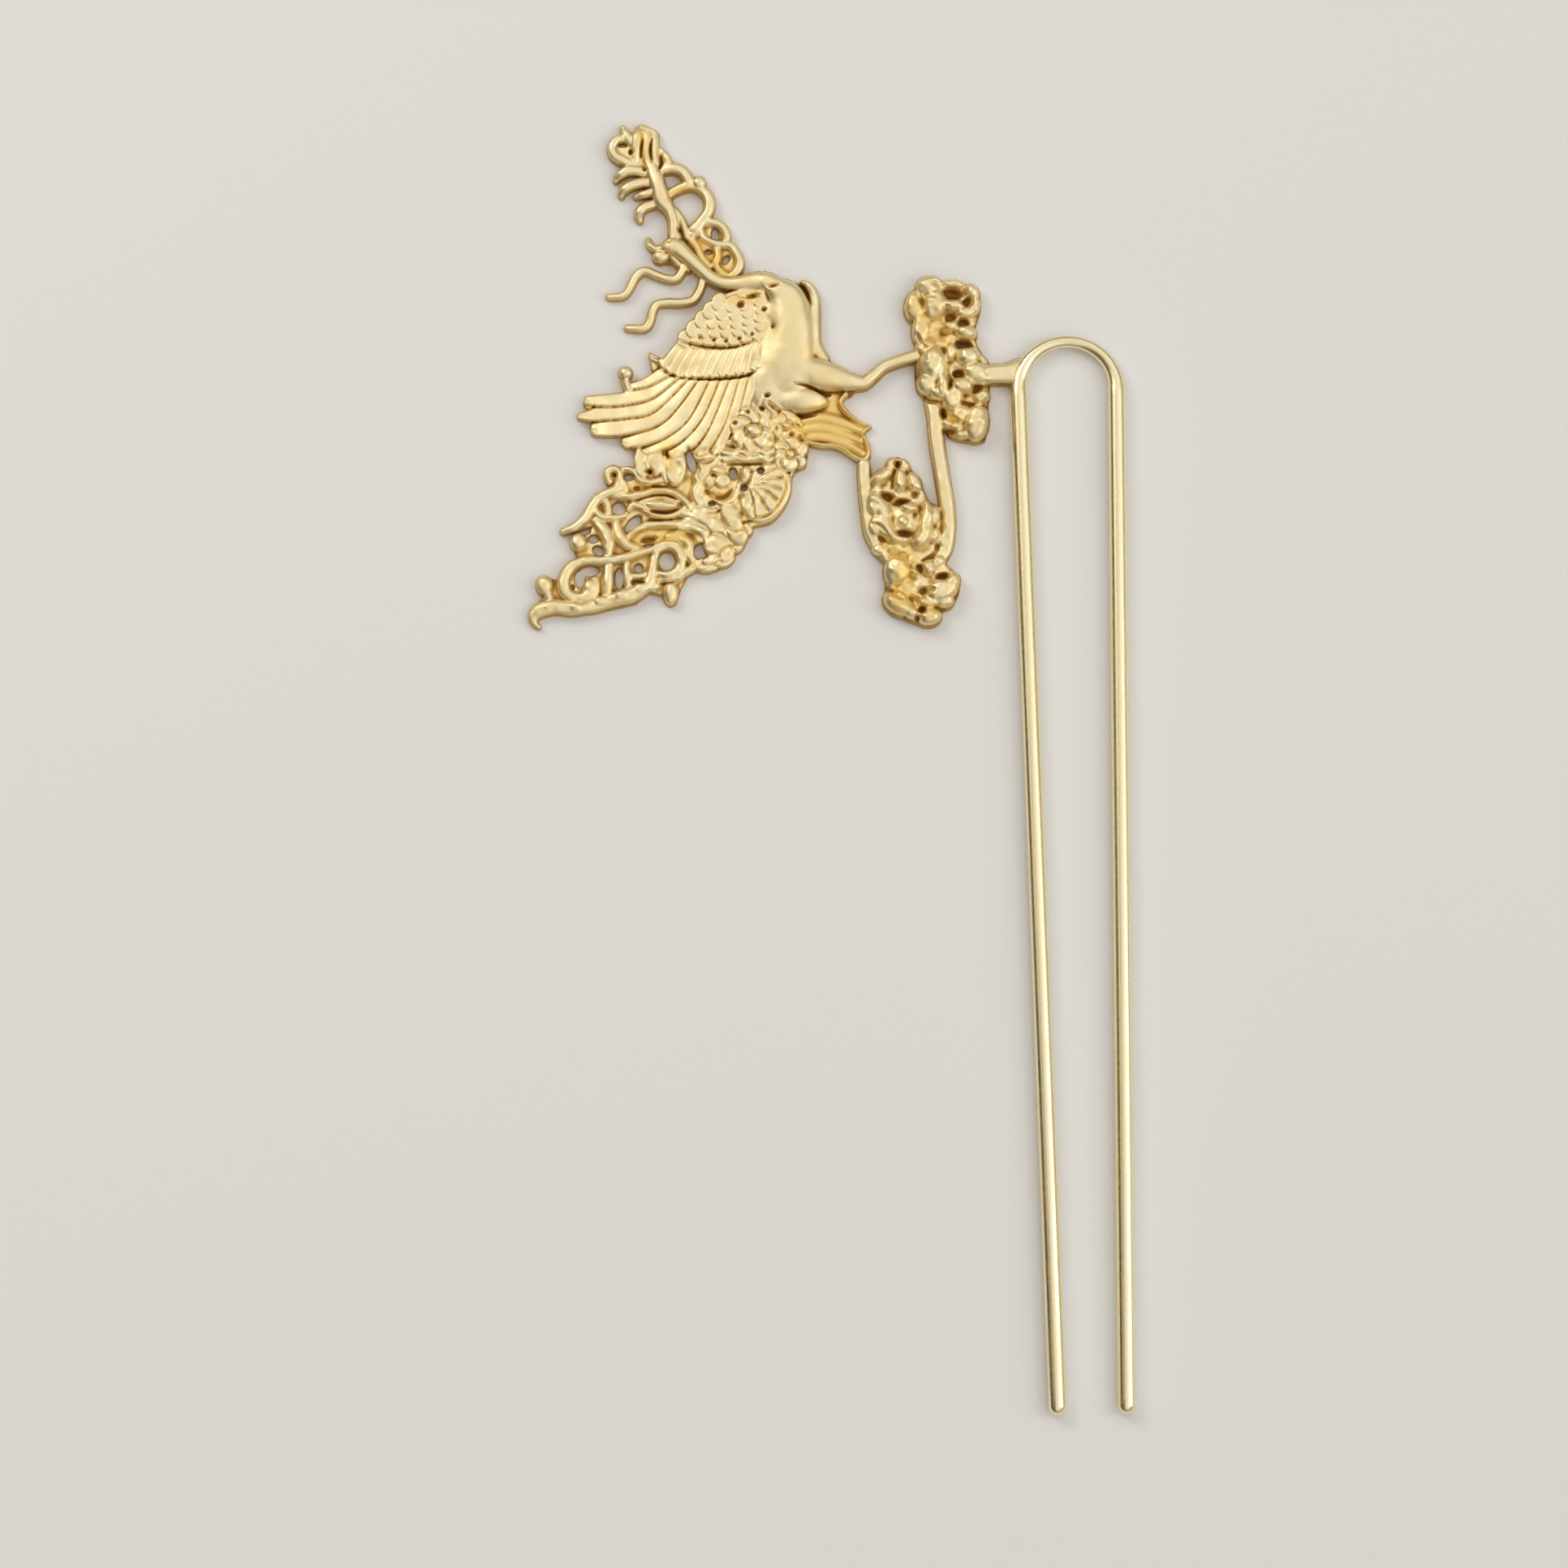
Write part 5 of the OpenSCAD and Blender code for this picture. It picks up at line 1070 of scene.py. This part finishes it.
# Two blossoms over the foot of the wing and a third below them at the edge
def sculptSmallBlossoms(relief):
    look = smallBlossoms
    out, length, width, low = look["petal"]
    heartLength, heartWidth, heartRise = look["heart"]
    for x, y, radius, count, turn, top in look["round"]:
        for k in range(count):
            a = math.radians(turn + 360 * k / count)
            petal = [x + radius * out * math.cos(a), y + radius * out * math.sin(a),
                     radius * length, width * radius / count, math.degrees(a), top * low]
            relief.petals([petal], fullness=3, shoulder=0.7, cup=0.12, groove=0.12, sink=0.2)
        heart = [x, y, radius * heartLength, radius * heartWidth, 0, top + heartRise]
        relief.petals([heart], groove=0.15, sink=0.25)
    relief.petals([[x, y, *look["edgeSize"], turn, look["edgeTop"]] for x, y, turn in
                   look["edgePetals"]], fullness=3, shoulder=0.7, groove=0.1, sink=0.12)
    relief.petals([look["edgeHeart"]], groove=0.15, sink=0.25)
    relief.detail(look)


def makePhoenix():
    relief = Relief((-38.5, 16.5, 13, 82.5))
    for sculpt in (sculptTail, sculptFan, sculptWing, sculptLeaf, sculptCrest, sculptHead,
                   sculptBody, sculptSmallBlossoms):
        sculpt(relief)
        print(sculpt.__name__, "done")
    relief.finish(rim=0.25, seed=4)
    return relief.build("phoenixCasting", mostTriangles=195000)


blossoms = {
    "bars": [
        [[4.4, 37.3, 1.8, 1.8], [4.5, 35, 1.9, 1.9], [4.9, 31, 1.9, 1.9], [5.4, 28.2, 1.9, 1.9],
         [7, 26, 1.9, 1.6]],
        [[12.8, 45.4, 2, 1.8], [13.2, 43.6, 2.1, 1.9], [13.5, 40, 2.1, 1.9], [14.1, 36, 2.1, 1.9],
         [14.7, 32, 2.1, 1.9], [14.8, 29, 2.1, 1.9], [14.4, 26.6, 2, 1.8], [13.4, 25, 1.8, 1.5]],
    ],
    "upper": [
        [11.6, 60.8], [12.9, 61.2], [14.4, 60.6], [16, 60.6], [17.6, 60], [18.9, 58.6],
        [18.9, 56.6], [18.4, 55], [18.3, 53.6], [18.9, 51.8], [20, 50.4], [20.1, 47.4], [20, 45.4],
        [19.7, 42], [19.4, 40.3], [17.6, 40.2], [15.4, 40.6], [14.6, 41.4], [14.2, 44], [12, 45.6],
        [11, 46.9], [10.7, 48.8], [10.9, 51.8], [10.6, 53.4], [10.5, 55], [9.8, 56.8], [9.8, 58.4],
        [10.8, 59.8],
    ],
    "lower": [
        [8.7, 38.4], [9.8, 37.3], [10.9, 36], [12, 33.9], [12.6, 32.6], [13.8, 32], [14.8, 29.6],
        [15, 26.6], [14.7, 24.7], [15.9, 23.7], [16.3, 22], [15.9, 20.4], [14.8, 19.1],
        [13.7, 18.5], [13.4, 17.4], [12.2, 16.9], [10.6, 17.3], [8.6, 18.2], [7.2, 19.4], [7, 21],
        [6.9, 23], [7, 24.8], [5.9, 25.7], [5.5, 26.8], [5.6, 28.2], [4.8, 31], [4.8, 35],
        [6.4, 36.4], [7.6, 37.9],
    ],
    "upperPetals": [
        [10.9, 57.5, 4, 2.6, 80, 2.3], [12.5, 60, 3.2, 2.4, 20, 2.4], [15.6, 60.2, 3, 1.2, -6, 2.2],
        [17.9, 59.2, 2.4, 1.6, -60, 2.4], [18.1, 57.4, 2.6, 1.6, 80, 2.4],
        [13.2, 57.6, 4.2, 3, 72, 2.7], [15.6, 57.5, 3, 1.4, -8, 2.7],
        [17.1, 56.5, 2.6, 1.5, 8, 2.6], [11.6, 54.6, 4.4, 2.2, 84, 2.2],
        [15.2, 54.8, 2.6, 1.4, 30, 2.5], [17.1, 54, 2.8, 1.8, -8, 2.7],
        [12.2, 52.2, 2.8, 2.2, 20, 2.2], [15.3, 51.6, 1.6, 2.6, -20, 2.5],
        [17.3, 51, 3, 2.4, -8, 2.7], [13.1, 49.8, 5, 3.2, 84, 2.8], [12.3, 47.6, 3, 2.4, 60, 2.6],
        [14.3, 47.4, 3.8, 1.6, 84, 2.8], [18.2, 49, 3.2, 2.4, 0, 2.6], [16.7, 47.2, 3, 2, -10, 2.9],
        [15.5, 45.7, 3.2, 2.4, 70, 2.7], [19, 45.9, 2.2, 1.8, 20, 2.4],
        [13.6, 46.2, 2.4, 1.4, -30, 2.4], [18.4, 42.6, 4.8, 2.8, 84, 2.7],
        [16.4, 43.6, 3, 2.2, 60, 2.3], [14.8, 42.5, 1.6, 1.4, 0, 2.2],
        [16.6, 41, 2.8, 1.2, -6, 2.1],
    ],
    "lowerPetals": [
        [7.8, 37.2, 2.2, 1.3, 66, 2.3], [9.4, 37.1, 2, 1.3, -60, 2.3],
        [6.6, 35.7, 3.6, 1.7, 40, 2.5], [8.9, 35.2, 3, 1.7, 86, 2.7], [10.5, 35, 3, 1.8, -56, 2.4],
        [6, 33.8, 2, 1.3, 20, 2.3], [5.9, 32.2, 3.6, 2.2, 96, 2.5], [6, 29.6, 3, 2, 74, 2.4],
        [9.3, 29.9, 1.6, 1.3, 20, 2.5], [9.5, 30, 4.6, 4.6, 0, 2], [10, 31.7, 2.4, 1.5, -15, 2.6],
        [9.2, 30.2, 1.6, 1.2, 20, 2.4], [13, 30.6, 3, 1.7, 70, 2.2],
        [13.3, 28.2, 2.6, 1.7, 100, 2.2], [6.2, 26.6, 1.8, 1.5, 0, 2], [8.5, 24, 4.2, 3, 76, 2.4],
        [8.2, 26.6, 2.6, 1.8, 10, 1.9], [10.7, 23.7, 1.6, 1.2, 30, 2.4],
        [12.4, 24.2, 2.4, 1.7, 84, 2.6], [13.6, 25, 2, 1.4, 40, 2], [15.2, 22.5, 2.6, 2, 70, 2.5],
        [13.9, 21.3, 4.4, 2.8, 22, 2.7], [8.6, 19.7, 4, 2.6, -32, 2.6],
        [12.4, 19.9, 3, 1.6, 6, 2.4], [14.4, 20, 2.4, 1.8, 20, 2.3], [12.5, 18.1, 3, 2.2, 12, 2.4],
        [10.2, 18.6, 2, 1.6, -20, 2.2],
    ],
    "curls": [
        [[6.6, 32.4, 1.8, 2.4], [6.8, 31, 2.5, 2.6], [7, 29.4, 2.6, 2.7], [7.9, 28.2, 2.4, 2.7],
         [9.3, 27.7, 1.7, 2.5]],
        [[12, 32, 1.6, 2.4], [12.2, 30.6, 2, 2.6], [12, 28.8, 2.3, 2.8], [11.4, 27.4, 2.5, 2.8]],
    ],
    "pits": [
        [13.4, 60.2, 1.1, 0.9, 0, 0.8], [15.5, 59, 2.8, 1.5, -6, 1.7],
        [17.4, 57.9, 1.5, 1.3, -20, 1], [12.7, 58.6, 1.6, 0.6, -6, 0.3],
        [15.2, 55.9, 1.5, 1.3, -30, 1], [16.7, 55.2, 1.7, 1, 0, 1], [13.9, 53.8, 2.4, 1.8, 20, 0.6],
        [16.7, 52.5, 2.7, 1.1, -4, 1.6], [14.3, 51.4, 1, 1.5, 20, 0.5],
        [12.1, 50.5, 0.8, 0.6, 0, 0.3], [16.2, 48.8, 1.5, 1.1, 0, 1.3],
        [18.5, 46.8, 1.4, 1.2, 30, 1], [19.5, 47.2, 1.6, 0.5, 0, 0.4],
        [15.1, 41.4, 1.9, 1.1, -6, 1], [14.3, 43.8, 1.1, 1.3, 0, 0.6],
        [15.8, 42.7, 2.2, 0.8, -12, 0.5], [16.8, 40.6, 1.2, 0.6, 0, 0.3],
        [8.6, 37.3, 1, 0.9, 0, 1.1], [7.3, 33.2, 2, 1.1, -16, 1.5], [8.9, 32.5, 2.6, 0.9, 4, 1.8],
        [10.7, 33.5, 1.2, 1.1, 0, 0.6], [10.7, 30.8, 0.6, 1.2, 0, 0.4],
        [11.6, 31.8, 0.9, 0.9, 0, 0.5], [9.4, 28.5, 2.3, 1, 4, 1.6], [11.3, 24.1, 1.2, 1.1, -40, 1],
        [14.2, 23.1, 2.1, 1, 8, 1.4], [11.8, 21.3, 2.6, 1, 0, 0.9], [11.6, 18.9, 0.9, 1, 0, 1.2],
        [11, 17.8, 0.8, 0.7, 40, 0.6], [10.3, 22.6, 1.2, 1.4, 0, 0.3], [10.6, 20.4, 1.6, 1, 0, 0.5],
        [8.9, 25.7, 2.4, 1.1, -16, 0.5], [6.8, 27.8, 1.6, 0.8, -20, 0.5],
        [5.7, 33.9, 1.2, 0.6, 0, 0.3],
    ],
    "creases": [
        [[11.2, 59, 0.4, 0.4], [11.5, 58.2, 0.6, 0.9], [12, 57, 0.5, 0.5], [12.1, 56, 0.4, 0.2]],
        [[15, 48.6, 0.5, 0.3], [15.1, 47.6, 0.6, 0.9], [15, 46.8, 0.4, 0.4]],
        [[16.6, 45.1, 0.4, 0.5], [17.4, 44.9, 0.5, 1], [18.8, 44.6, 0.4, 0.7],
         [19.6, 44.6, 0.3, 0.3]],
        [[11.8, 45.9, 0.4, 0.4], [12.5, 45.4, 0.6, 1], [13.4, 45.2, 0.4, 0.5]],
        [[11, 53.6, 0.5, 0.5], [11.4, 52.8, 0.6, 0.5], [12, 52, 0.5, 0.3]],
        [[14.6, 50.6, 0.4, 0.3], [13.6, 49, 0.4, 0.25], [13.4, 47.6, 0.4, 0.2]],
        [[11.8, 25.1, 0.5, 0.7], [12.6, 25.5, 0.6, 1], [13.3, 26.3, 0.5, 0.9],
         [13.6, 27.6, 0.6, 0.8]],
        [[7.3, 21.6, 0.5, 0.5], [8.1, 20.9, 0.6, 0.9], [9, 20.3, 0.5, 0.6]],
        [[8.2, 36.4, 0.4, 0.4], [8.2, 35.2, 0.5, 0.6], [7.8, 34.2, 0.4, 0.4]],
        [[9.8, 36.4, 0.4, 0.4], [9.8, 35.2, 0.5, 0.5], [10.2, 34.2, 0.4, 0.3]],
        [[5.4, 29.6, 0.3, 0.3], [6.4, 29.3, 0.4, 0.4], [7.2, 28.4, 0.3, 0.3]],
        [[13, 31.4, 0.4, 0.2], [13.2, 30, 0.5, 0.4], [13, 28.4, 0.4, 0.3]],
        [[14, 31.2, 0.4, 0.4], [14.1, 29.8, 0.5, 0.6], [13.8, 28, 0.4, 0.5]],
        [[13.2, 19, 0.4, 0.4], [14, 19, 0.4, 0.5], [14.8, 19.4, 0.3, 0.3]],
    ],
    # Mostly painted shade beside the pits
    "warm": [
        [0.7, [[10.8, 57.4, 2.4], [12, 55, 2.6], [12.3, 52.6, 2.6]]],
        [0.8, [[13.6, 54, 2.8], [14.6, 53.4, 2.2]]],
        [0.7, [[14.4, 43.6, 1.6], [16.2, 42.6, 2]]],
        [0.9, [[7.2, 27.6, 2], [8.4, 26.2, 2.6], [10, 25.8, 2], [9.4, 23, 3.4], [8.8, 19.8, 3.6]]],
        [0.8, [[10.4, 20.6, 2.2], [12.4, 18.4, 2.6]]],
    ],
    "arm": [
        [17.6, 48, 1.8, 2.3], [19.4, 48.6, 2.5, 2.3], [21, 48.85, 2.8, 2.2], [22.2, 48.9, 2.9, 2.1],
        [23, 49, 3.2, 2.1], [23.8, 49.1, 3.8, 2],
    ],
    "pitGrow": (1.25, 1.3, 0.85),  # of length, width and depth
    "deepestPit": 1.25,
    "armSeat": 0.75,  # the arm ends this far from the wire's middle line, sunk into its side
    "wireSlant": 0.0323,  # of the left prong there, to the side for each step down
}


def sculptBlossoms(relief):
    look = blossoms
    relief.strokes(look["bars"], fullness=3.2, shoulder=0.45)
    for title in ("upper", "lower"):
        relief.sheet(look[title], top=1.7, bevel=0.8, soft=0, knobs=1)
        relief.petals(look[title + "Petals"], longer=1.1, wider=1.2, higher=0.1, fullness=2.8,
                      shoulder=0.35, soft=0.08)
    relief.strokes(look["curls"], fullness=2, shoulder=0.4, soft=0.25)
    longer, wider, deeper = look["pitGrow"]
    relief.pits([[x, y, length * longer, width * wider, turn,
                  min(depth * deeper, look["deepestPit"])]
                 for x, y, length, width, turn, depth in look["pits"]])
    relief.creases(look["creases"], widen=1.5, deepen=0.6)
    relief.warm(look["warm"])
    relief.strokes([look["arm"]], fullness=3, shoulder=0.35, soft=0.6)


def makePeonyBranch():
    relief = Relief((2.5, 16, 24.5, 62.2))
    sculptBlossoms(relief)
    print("peony branch sculpted")
    relief.finish(rim=0.35, seed=7)
    x, y = relief.points((slice(None), slice(None)))
    archX, archY = forkLook["arch"]
    radius = forkLook["archRadius"]
    toWire = np.where(y > archY, np.hypot(x - archX, y - archY) - radius,
                      archX - radius + blossoms["wireSlant"] * (archY - y) - x)
    relief.reach = np.minimum(relief.reach, toWire - blossoms["armSeat"])
    return relief.build("peonyCasting", mostTriangles=120000)


forkLook = {
    "wire": 2.2,  # mm through a prong
    "archWire": 1.5,  # and at the top of the arch
    "arch": (29.75, 46.9),
    "archRadius": 6.1,
    "turn": 0.15,  # degrees that the arch is turned
    "lean": 0.85,  # degrees that a prong leans in
    "prong": 126.5,
    "sides": 40,
    "prongSteps": 150,
    "archSteps": 90,
    "tipSteps": 8,
    "archTaper": 0.7,  # under 1 thins it sooner
    "tipEnd": 0.02,
    "lift": 0.03,  # free under the wire
}


def makeFork():
    look = forkLook
    half = look["wire"] / 2
    middle = np.array(look["arch"])
    start = math.radians(look["turn"])
    end = math.radians(look["turn"] + (180 + 2 * look["lean"]))

    def onArch(a):
        return middle + look["archRadius"] * np.array([math.cos(a), math.sin(a)])

    def prong(foot, run, shares):
        return [[*(foot + run * look["prong"] * t), half] for t in shares]

    def tip(place, run):
        return [[*(place[:2] + run * half * math.sin(a)), max(half * math.cos(a), look["tipEnd"])]
                for a in np.linspace(0, math.pi / 2, look["tipSteps"] + 1)[1:]]

    runRight = np.array([math.sin(start), -math.cos(start)])
    runLeft = np.array([-math.sin(end), math.cos(end)])
    steps = look["prongSteps"]
    route = prong(onArch(start), runRight, np.linspace(1, 0, steps, endpoint=False))
    for t in np.linspace(0, 1, look["archSteps"]):
        thin = math.sin(math.pi * t) ** look["archTaper"]
        wire = look["wire"] + (look["archWire"] - look["wire"]) * thin
        route.append([*onArch(start + (end - start) * t), wire / 2])
    route += prong(onArch(end), runLeft, np.linspace(0, 1, steps + 1)[1:])
    route = tip(np.array(route[0]), runRight)[::-1] + route + tip(np.array(route[-1]), runLeft)
    route = np.array(route)
    sides, last = look["sides"], len(route) - 1
    points, faces = [], []
    for i, (x, y, radius) in enumerate(route):
        ahead = route[min(i + 1, last), :2] - route[max(i - 1, 0), :2]
        ahead /= np.hypot(*ahead)
        for k in range(sides):
            a = 2 * math.pi * k / sides
            out = radius * math.cos(a)
            points.append([x - ahead[1] * out, y + ahead[0] * out,
                           half + look["lift"] + radius * math.sin(a)])
            if i < last:
                b = i * sides + k
                c = i * sides + (k + 1) % sides
                faces.append([b, b + sides, c + sides, c])
    faces.append(list(range(sides)))
    faces.append([last * sides + k for k in range(sides - 1, -1, -1)])
    piece = newPiece("forkWire", points, faces)
    shadeSmooth(piece.data)
    return piece


floorLook = {
    "size": 12,
    "below": 0.02 * mm,
    "colour": (0.86, 0.855, 0.84),
    "roughness": 0.8,
}


def makeFloor():
    look = floorLook
    bpy.ops.mesh.primitive_plane_add(size=look["size"], location=(0, 0, -look["below"]))
    floor = bpy.context.object
    floor.name = "floor"
    material = bpy.data.materials.new("floorPaper")
    paper = Shades(material)
    shader = paper.node("ShaderNodeBsdfPrincipled", {}, {
        "Base Color": look["colour"], "Roughness": look["roughness"]})
    paper.node("ShaderNodeOutputMaterial", {}, {"Surface": shader})
    floor.data.materials.append(material)


studioLook = {
    "light": (1, 0.985, 0.96),
    "shade": (1, 0.76, 0.5),
    "zenith": 1.0,
    "horizon": 0.2,
    "seam": 0.6,  # light left between the two soft boxes overhead
    "left": 0.18,  # light left low on the left
    "rise": (0.1, 0.8),  # heights on the sky between which it grows lighter
    "seamEdge": (0.03, 0.14),
    "leftEdge": (-0.5, -0.12),
    "lamps": [  # name, place, aim, size, watts, colour
        ("keyLight", (-0.5, 0.5, 0.6), (0, 0.02, 0), (0.4, 0.4), 1.6, (1, 0.98, 0.94)),
        ("leftPanel", (-0.45, 0.37, 0.6), (0, 0.1, 0), (0.7, 0.5), 0.55, (1, 0.98, 0.95)),
        ("fillLight", (0.7, -0.05, 0.45), (0, 0.02, 0), (0.35, 0.6), 0.95, (1, 0.98, 0.96)),
    ],
}


# Sky of two large soft boxes, left and right, with a narrow dimmer seam between them
def makeDome():
    look = studioLook
    world = bpy.data.worlds.new("studioDome")
    dome = Shades(world)
    way = dome.node("ShaderNodeTexCoord", output=0)
    across = dome.node("ShaderNodeSeparateXYZ", {}, [way])
    high = Socket(dome, across.out.node.outputs[2])
    rise = dome.step(high, *look["rise"])
    seam = dome.step(across.maths("ABSOLUTE", across), *look["seamEdge"])
    left = dome.step(across, *look["leftEdge"], look["left"])
    level = ((look["horizon"] + rise * (look["zenith"] - look["horizon"]))
             * (look["seam"] + seam * (1 - look["seam"])))
    tint = dome.mixed(left, look["shade"], look["light"])
    sky = dome.node("ShaderNodeBackground", {}, {"Color": tint, "Strength": level * left})
    dome.node("ShaderNodeOutputWorld", {}, {"Surface": sky})
    bpy.context.scene.world = world


def makeLamps():
    for name, place, aim, size, power, colour in studioLook["lamps"]:
        lamp = bpy.data.lights.new(name, "AREA")
        lamp.shape = "RECTANGLE"
        lamp.size, lamp.size_y = size
        lamp.energy = power
        lamp.color = colour
        light = bpy.data.objects.new(name, lamp)
        light.location = place
        light.rotation_euler = (Vector(aim) - Vector(place)).to_track_quat("-Z", "Y").to_euler()
        bpy.context.collection.objects.link(light)


cameraSet = {
    "elevation": 80,
    "distance": 1.0,
    "frameWidth": 0.1932,
    "aim": (-0.0055, -0.0029, 0.0012),
    "film": 36,
}


def makeCamera():
    look = cameraSet
    up = math.radians(look["elevation"])
    back = Vector((0, -math.cos(up), math.sin(up)))
    lens = bpy.data.cameras.new("camera")
    lens.sensor_width = look["film"]
    lens.lens = look["film"] * look["distance"] / look["frameWidth"]
    lens.clip_start = 0.01
    camera = bpy.data.objects.new("camera", lens)
    camera.location = Vector(look["aim"]) + back * look["distance"]
    camera.rotation_euler = (-back).to_track_quat("-Z", "Y").to_euler()
    bpy.context.collection.objects.link(camera)
    bpy.context.scene.camera = camera


makeCamera()
makeFloor()
makeDome()
makeLamps()
bpy.context.scene.view_settings.view_transform = "Standard"
print("stage ready")

castGold = goldMetal("castGold", goldLook)
wireGold = goldMetal("wireGold", wireLitLook, cast=False)
print("golds mixed")
for make, node, metal, slot in ((makePhoenix, "phoenix", castGold, "casting"),
                                (makePeonyBranch, "peony_branch", castGold, "casting"),
                                (makeFork, "fork", wireGold, "wire")):
    piece = make()
    piece.data.materials.clear()
    piece.data.materials.append(metal)
    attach(piece, "root")
    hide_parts(node)
    print(node, "has", len(piece.data.polygons), "faces")
